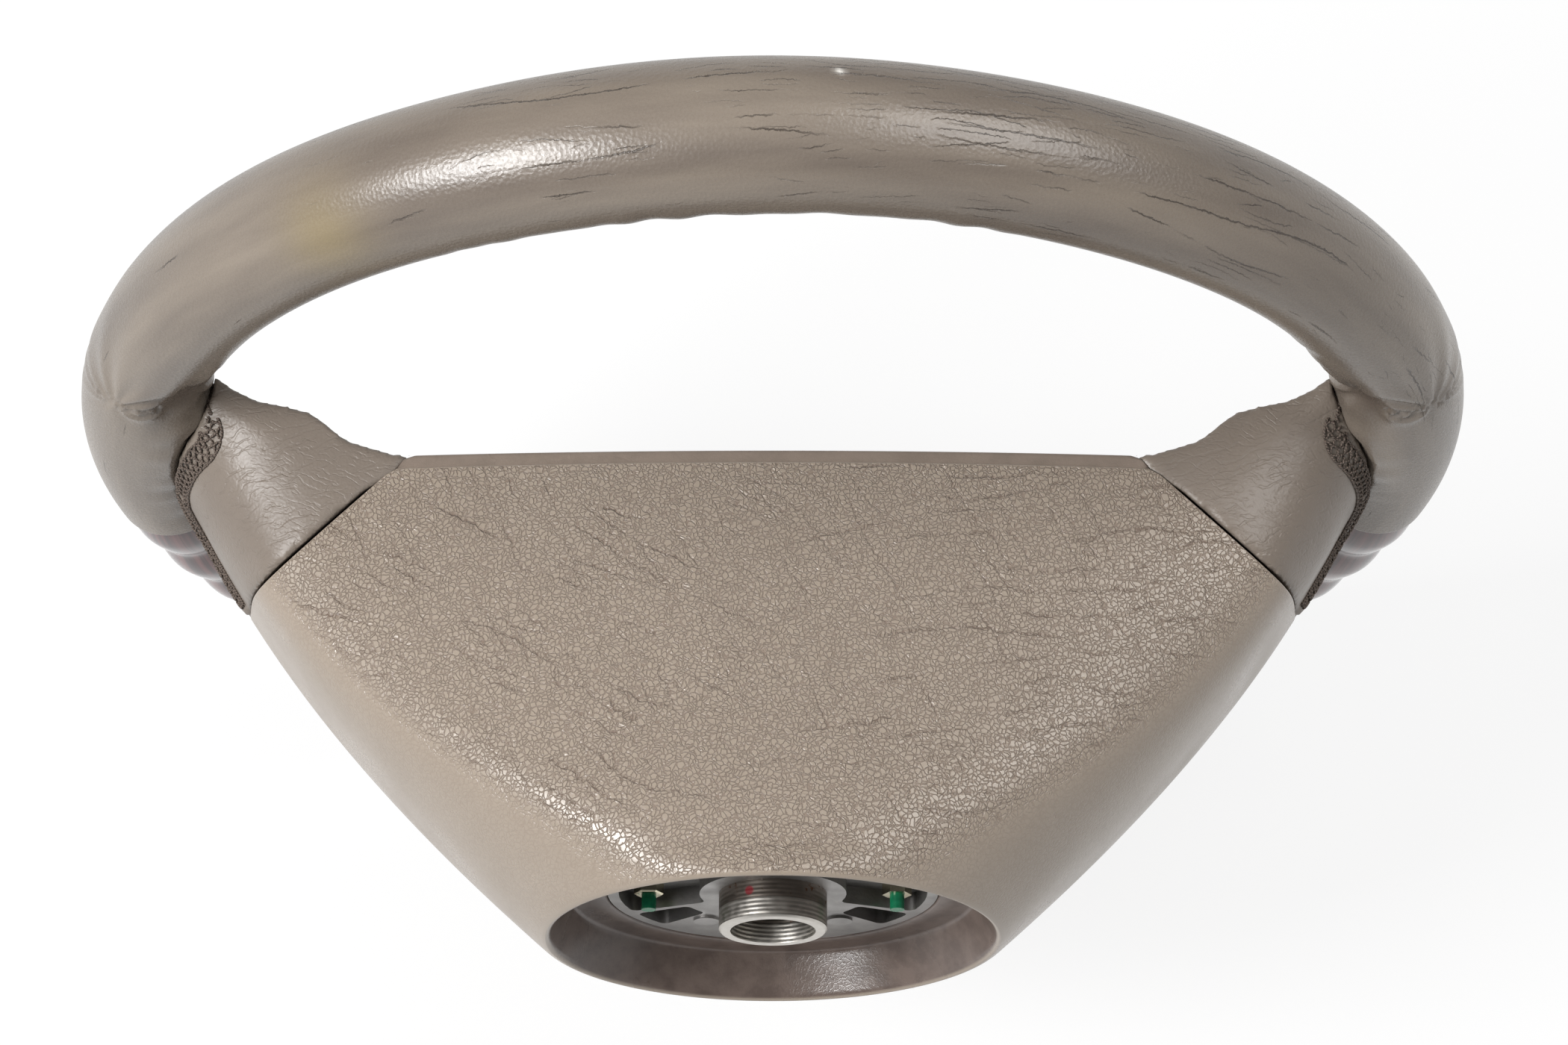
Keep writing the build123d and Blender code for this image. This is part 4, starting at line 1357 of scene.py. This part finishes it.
@dataclass
class Spokes:
    """The two spoke covers: leather over foam, laced to the rim."""

    form: Funnel
    rim: Rim
    voxel: float = 1.15
    flare_high: float = 3.6
    flare_low: float = 1.5
    flare_width: float = 11.0
    band_from: float = 5.0
    band_to: float = 8.5
    bead_height: float = 1.5
    bead_width: float = 2.7
    bead_turn: float = 1.0
    closing: float = 0.8
    stitch_pitch: float = 2.9
    thread_radius: float = 0.36
    net: tuple[Triple, ...] = (
        (163.5, 147.0, 1.6),
        (163.7, 138.6, 2.6),
        (163.9, 131.8, 3.3),
        (165.0, 126.5, 3.3),
        (168.0, 124.5, 3.0),
        (173.0, 126.0, 2.8),
        (178.5, 126.6, 2.6),
        (182.0, 123.0, 2.4),
        (183.0, 117.5, 2.3),
        (183.0, 111.0, 2.3),
        (183.0, 104.5, 2.2),
        (183.4, 100.0, 1.5),
    )
    edge: tuple[tuple[float, float], ...] = (
        (104.0, 124.0),
        (112.0, 126.5),
        (116.0, 127.8),
        (120.0, 130.2),
        (124.0, 133.6),
        (128.0, 136.3),
        (132.0, 137.3),
        (140.0, 138.7),
        (144.0, 139.8),
        (148.0, 141.6),
        (152.0, 143.8),
        (156.0, 146.5),
    )

    def lacing_path(self, side: Side) -> tuple[Array, Array]:
        """The line where the spoke's form meets the rim's tube, from the top to the tip.

        Args:
            side: the spoke.

        Returns:
            Points PATH_STEP apart, and the form's outward directions there.
        """
        angle = np.radians(np.linspace(112, 250, 2400))
        y = self.form.crossing(self.rim.inside, angle)
        points, normals = self.form.surface(y, angle), self.form.normal(y, angle)
        front = self.form.spoke_front + self.form.spoke_slope * (-points[:, 0] - self.rim.radius)
        on_tube = np.abs(self.rim.inside(points)) < 0.02
        keep = on_tube & (self.form.beyond_seam(points, Side.LEFT) < 1.0) & (points[:, 1] < front)
        path, out = resampled(points[keep], normals[keep])
        flip = np.array([-side.value, 1, 1])
        return path * flip, unit(out) * flip

    def flare(self, places: Array, side: Side) -> Array:
        """How the leather fills the corner between spoke and rim: a parabola that fades with distance from the lacing.

        Args:
            places: points of a cover or of the rim's wrap.
            side: the spoke.

        Returns:
            Moves in millimetres, along the middle of the two surfaces' outward directions.
        """
        path, form_out = self.lacing_path(side)
        out = unit(self.rim.normal(path) + form_out)
        run = np.linspace(0, 1, len(path))
        high = self.flare_low + (self.flare_high - self.flare_low) * np.exp(-(((run - 0.2) / 0.16) ** 2))
        moves = np.zeros_like(places)
        close = np.abs(places[:, 0] * side.value - 160) < 60
        gap = np.linalg.norm(places[close][:, None] - path[None, ::4], axis=-1)
        nearest, far = gap.argmin(1) * 4, gap.min(1)
        fade = np.clip(1 - far / (self.flare_width + 1.2 * high[nearest]), 0, 1) ** 2
        moves[close] = out[nearest] * (high[nearest] * fade)[:, None]
        return moves

    def net_path(self, side: Side, turned: float = 0.0) -> tuple[Array, Array]:
        """The lacing's middle line, from the top of the spoke down its outer side to the seam.

        The knots name an angle and a Y of the form, and half the lacing's width; the line between them is smoothed.

        Args:
            side: the spoke.
            turned: degrees by which the line moves down the outer side.

        Returns:
            Points PATH_STEP apart, and half the width at each.
        """
        knots = np.array(self.net) + [turned, 0, 0]
        at = np.clip(np.linspace(-0.5, len(knots) - 0.5, 800), 0, len(knots) - 1)
        fine = np.stack([np.interp(at, np.arange(len(knots)), knots[:, k]) for k in range(3)], -1)
        fine = np.stack([np.convolve(fine[:, k], np.ones(61) / 61, "valid") for k in range(3)], -1)
        points = self.form.surface(fine[:, 1], np.radians(fine[:, 0])) * [-side.value, 1, 1]
        path, half = resampled(points, fine[:, 2:])
        return path, half[:, 0]

    def cover(self, side: Side) -> Piece:
        """One cover: an even soft copy of its solid, with a curved front edge, a bead and a flare to the rim.

        Args:
            side: the spoke.

        Returns:
            The cover.
        """
        word = side.name.lower()
        piece = soft_copy(f"{word}_spoke_cover", f"{word}_spoke_pad", self.voxel, rounds=3)
        net, _ = self.net_path(side)
        places = mesh_points(piece)
        far = np.linalg.norm(places[:, None] - net[None, len(net) * 2 // 5 :: 3], axis=-1).min(1)
        mark_points(piece, "band", 1 - smoothstep(self.band_from, self.band_to, far))
        bead, _ = self.net_path(side, self.bead_turn)
        bead_far = np.linalg.norm(places[:, None] - bead[None, len(bead) // 2 :: 2], axis=-1).min(1)
        bead_out = mesh_normals(piece) * (self.bead_height * np.exp(-((bead_far / self.bead_width) ** 2)))[:, None]
        across = np.abs(places[:, 0])
        front = self.form.spoke_front + self.form.spoke_slope * (across - self.rim.radius)
        wanted = np.interp(across, *np.array(self.edge).T)
        share = smoothstep(-30, 5, places[:, 2]) * smoothstep(18, 3, front - places[:, 1])
        moves = self.flare(places, side) + bead_out
        moves[:, 1] -= np.maximum(front - wanted, 0) * share * smoothstep(164, 154, across)
        seam = np.array(self.form.seam_normal) * [-side.value, -1, -1]
        moves += seam * (self.closing * smoothstep(-4.0, -1.6, self.form.beyond_seam(places, side)))[:, None]
        move_points(piece, places + moves)
        settle(piece, Body.WHEEL, "spoke_leather", SPOKE_LEATHER, f"{word}_spoke_cover")
        return piece

    def lay(self, places: Array, cover: Piece, wrap: Piece) -> tuple[Array, Array]:
        """Moves points onto the cover, or onto the rim's wrap where that lies outside the cover.

        Args:
            places: points near the surface.
            cover: the finished cover.
            wrap: the finished wrap.

        Returns:
            Points on the outer surface and its outward directions.
        """
        on, out = np.zeros_like(places), np.zeros_like(places)
        for index, place in enumerate(places):
            _, spot, normal, _ = cover.closest_point_on_mesh((place * MM).tolist())
            _, other, outside, _ = wrap.closest_point_on_mesh(spot)
            if (spot - other).dot(outside) < 0:
                spot, normal = other, outside
            on[index], out[index] = np.array(spot) / MM, normal
        return on, out

    def lacing(self, side: Side, cover: Piece, wrap: Piece) -> Piece:
        """The net of thread: two lanes of crossing runs with a run along each edge, lying on cover and wrap.

        Args:
            side: the spoke.
            cover: the finished cover.
            wrap: the rim's finished wrap.

        Returns:
            The net.
        """
        path, half = self.net_path(side)
        along = unit(np.gradient(path, axis=0))
        path = path + self.flare(path, side)
        beside = unit(np.cross(along, self.lay(path, cover, wrap)[1]))
        count = int(PATH_STEP * (len(path) - 1) / self.stitch_pitch)
        middle = (np.arange(count)[:, None] + 0.5) / count
        steps = np.linspace(-1, 1, 11)[None]
        take = np.round(np.clip(middle + 0.52 * steps / count, 0, 1) * (len(path) - 1)).astype(int)
        level = steps * 0
        paths = []
        for across, raised in (
            (0.5 + 0.5 * steps, 0.3),
            (0.5 - 0.5 * steps, 0.55),
            (-0.5 + 0.5 * steps, 0.55),
            (-0.5 - 0.5 * steps, 0.3),
            (level + 1, 0.2),
            (level - 1, 0.2),
        ):
            base = path[take] + beside[take] * (across * half[take])[..., None]
            on, out = self.lay(base.reshape(-1, 3), cover, wrap)
            lift = 0.1 + raised * (1 - np.abs(steps) ** 3)
            paths.append(on.reshape(base.shape) + out.reshape(base.shape) * lift[..., None])
        points, quads, pattern = tubes(np.concatenate(paths), self.thread_radius, 7)
        name = f"{side.name.lower()}_lacing"
        mesh = bpy.data.meshes.new(name)
        mesh.from_pydata((points * MM).tolist(), [], quads.tolist())
        mesh.uv_layers.new(name="girth").data.foreach_set("uv", (pattern * MM).astype(np.float32).reshape(-1))
        piece = outward(name, mesh)
        settle(piece, Body.WHEEL, "spoke_leather", THREAD)
        return piece

    def build(self, wrap: Piece) -> None:
        """Makes both covers and laces them to the rim's wrap."""
        for side in Side:
            self.lacing(side, self.cover(side), wrap)


@dataclass
class FrontPad:
    """The horn push: a plain domed pad with softened edges."""

    voxel: float = 1.8

    def build(self) -> Piece:
        """Makes an even soft copy of the pad's solid and marks it as grained all over.

        Returns:
            The pad.
        """
        piece = soft_copy("pad_cover", "horn_pad", self.voxel, rounds=3)
        count = len(piece.data.vertices)
        mark_points(piece, "grain", np.full(count, 0.9))
        mark_points(piece, "crease", np.full(count, 0.35))
        settle(piece, Body.PUSH, "pad_skin", PAD_SKIN, "pad_cover")
        return piece


@dataclass
class Module:
    """The soft and springy parts behind the pad: the folded air cushion and the horn springs."""

    voxel: float = 1.5
    pleat: float = 7.5
    pleat_depth: float = 1.4
    spring_seat: float = 86.0
    spring_length: float = 11.95
    travel: float = 2.5

    def cushion(self) -> Piece:
        """Folds the cushion: an even soft copy of its solid, with pleats cut into its front as sharp cosine waves.

        Returns:
            The cushion.
        """
        piece = soft_copy("airbag_cushion", "folded_cushion", self.voxel, rounds=2)
        places, front = mesh_points(piece), smoothstep(0.4, 0.9, mesh_normals(piece)[:, 1])
        wave = 0.5 - 0.5 * np.cos(math.tau * places[:, 2] / self.pleat)
        places[:, 1] -= self.pleat_depth * wave**6 * front
        move_points(piece, places)
        settle(piece, Body.PUSH, "bag_cloth", NYLON, "airbag_cushion")
        return piece

    def springs(self) -> Piece:
        """Copies the horn springs.

        Returns:
            The springs.
        """
        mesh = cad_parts["horn_springs"].data.copy()
        mesh.materials.clear()
        piece = outward("press_springs", mesh)
        settle(piece, Body.WHEEL, "zinc_steel", ZINC, "horn_springs")
        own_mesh(piece)
        return piece

    def build(self) -> None:
        """Makes both."""
        self.cushion()
        self.springs()


@dataclass
class Castings:
    """The CAD nodes that stay as they are and only get their finishes."""

    finishes: dict[str, Finish] = field(
        default_factory=lambda: {
            "armature": CAST,
            "hub_sleeve": STEEL,
            "carrier_nuts": NUT,
            "carrier_studs": STUD,
            "horn_carrier": ZINC,
            "guide_bolts": ZINC,
            "fixed_contacts": BRASS,
            "moving_contacts": BRASS,
            "airbag_housing": ZINC,
            "gas_generator": ZINC,
            "bag_retaining_ring": ZINC,
            "generator_nuts": ZINC,
            "cover_rivets": ZINC,
        }
    )

    def dress(self) -> None:
        """Puts each finish on its node."""
        for name, finish in self.finishes.items():
            finish.dress(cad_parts[name])
            LOG.info("%s: %s", name, finish.name)


@dataclass
class Studio:
    """The pale floor, the soft lights and the camera."""

    floor_z: float = -196.0
    camera_at: Triple = (0.0, -262.94, 912.56)
    camera_tilt: float = 22.770
    lens: float = 79.97
    axis_pixel: float = 1035.19
    image_width: float = 2100.0
    fill: float = 0.25
    paper: str = "#f4f4f4"
    paper_glow: float = 0.82
    floor_half: float = 4000.0
    aim: Triple = (0.0, 80.0, 0.0)

    def camera(self) -> None:
        """Sets the camera at the photograph's angle."""
        data = bpy.data.cameras.new("camera")
        data.lens, data.sensor_width = self.lens, 36.0
        data.shift_x = (self.image_width / 2 - self.axis_pixel) / self.image_width
        camera = bpy.data.objects.new("camera", data)
        camera.location = [c * MM for c in self.camera_at]
        camera.rotation_euler = (math.radians(self.camera_tilt), 0, 0)
        bpy.context.scene.collection.objects.link(camera)
        bpy.context.scene.camera = camera

    def floor(self) -> None:
        """Lays a matt white floor that the camera sees almost white, with the object's shadow kept."""
        half = self.floor_half
        corners = np.stack(np.meshgrid([-half, half], [-half, half], [self.floor_z], indexing="ij"), -1)
        piece = Surface(corners[:, :, 0]).piece("floor")
        material = bpy.data.materials.new("white_paper")
        material.use_nodes = True
        tree = material.node_tree
        tree.nodes.clear()
        paper = add(tree, "BsdfDiffuse", {"Color": self.paper})
        glow = add(tree, "Emission", {"Color": (1, 1, 1, 1), "Strength": 1.0})
        seen = self.seen(tree, "Camera", "Glossy", "Transmission")
        part = add(tree, "Math", {0: seen, 1: self.paper_glow}, operation="MULTIPLY")
        add(tree, "OutputMaterial", {"Surface": add(tree, "MixShader", {0: part, 1: paper, 2: glow})})
        piece.data.materials.append(material)

    def seen(self, tree: Tree, *rays: str) -> Value:
        """Tells some rays from the light that falls on things.

        Args:
            tree: the nodes of a material or of the world.
            rays: the kinds of rays.

        Returns:
            What gives 1 for these rays and 0 for others.
        """
        path = add(tree, "LightPath")
        either, *others = (path.outputs[f"Is {ray} Ray"] for ray in rays)
        for other in others:
            either = add(tree, "Math", {0: either, 1: other}, operation="MAXIMUM")
        return either

    def world(self) -> None:
        """Makes a white surround that darkens overhead in reflections and gives a weaker even light."""
        world = bpy.data.worlds.new("surround")
        bpy.context.scene.world = world
        world.use_nodes = True
        tree = world.node_tree
        tree.nodes.clear()
        up = add(tree, "SeparateXYZ", {0: add(tree, "TexCoord").outputs["Generated"]}).outputs["Z"]
        high = {"Value": up, "From Min": 0.0, "From Max": 0.35, "To Min": 1.0, "To Max": 0.12}
        high = add(tree, "MapRange", high, interpolation_type="SMOOTHSTEP")
        shine = {0: self.seen(tree, "Glossy", "Transmission"), 2: self.fill, 3: high}
        shine = add(tree, "Mix", shine, data_type="FLOAT")
        strength = add(tree, "Math", {0: self.seen(tree, "Camera"), 1: shine}, operation="MAXIMUM")
        sky = add(tree, "Background", {"Color": (1, 1, 1, 1), "Strength": strength})
        add(tree, "OutputWorld", {"Surface": sky})

    def lamp(self, name: str, place: Triple, size: float, watts: float) -> None:
        """Hangs one square softbox that looks at the wheel.

        Args:
            name: the lamp's name.
            place: its place in millimetres.
            size: its side in millimetres.
            watts: its power.
        """
        data = bpy.data.lights.new(name, "AREA")
        data.shape, data.size, data.energy = "SQUARE", size * MM, watts
        lamp = bpy.data.objects.new(name, data)
        lamp.location = [c * MM for c in place]
        aim = np.array(self.aim) - np.array(place)
        across = math.hypot(aim[0], aim[1])
        lamp.rotation_euler = (math.atan2(across, -aim[2]), 0, math.atan2(aim[1], aim[0]) - math.pi / 2)
        bpy.context.scene.collection.objects.link(lamp)

    def build(self) -> None:
        """Sets up floor, surround, lamps and camera."""
        bpy.context.scene.view_settings.view_transform = "Standard"
        self.floor()
        self.world()
        self.lamp("left_softbox", (-830.0, -220.0, 975.0), 480.0, 21.0)
        self.lamp("right_softbox", (650.0, 230.0, 1120.0), 700.0, 9.0)
        self.camera()


def main() -> None:
    """Builds the sub-assemblies in order, dresses the castings and sets up the studio."""
    logging.basicConfig(level=logging.INFO, format="%(name)s %(message)s")
    rim, form = Rim(), Funnel()
    spokes = Spokes(form, rim)
    wrap = rim.leather(spokes.flare)
    rim.wood()
    Shroud(form).build()
    spokes.build(wrap)
    FrontPad().build()
    Module().build()
    Castings().dress()
    Studio().build()


if __name__ == "__main__":
    main()
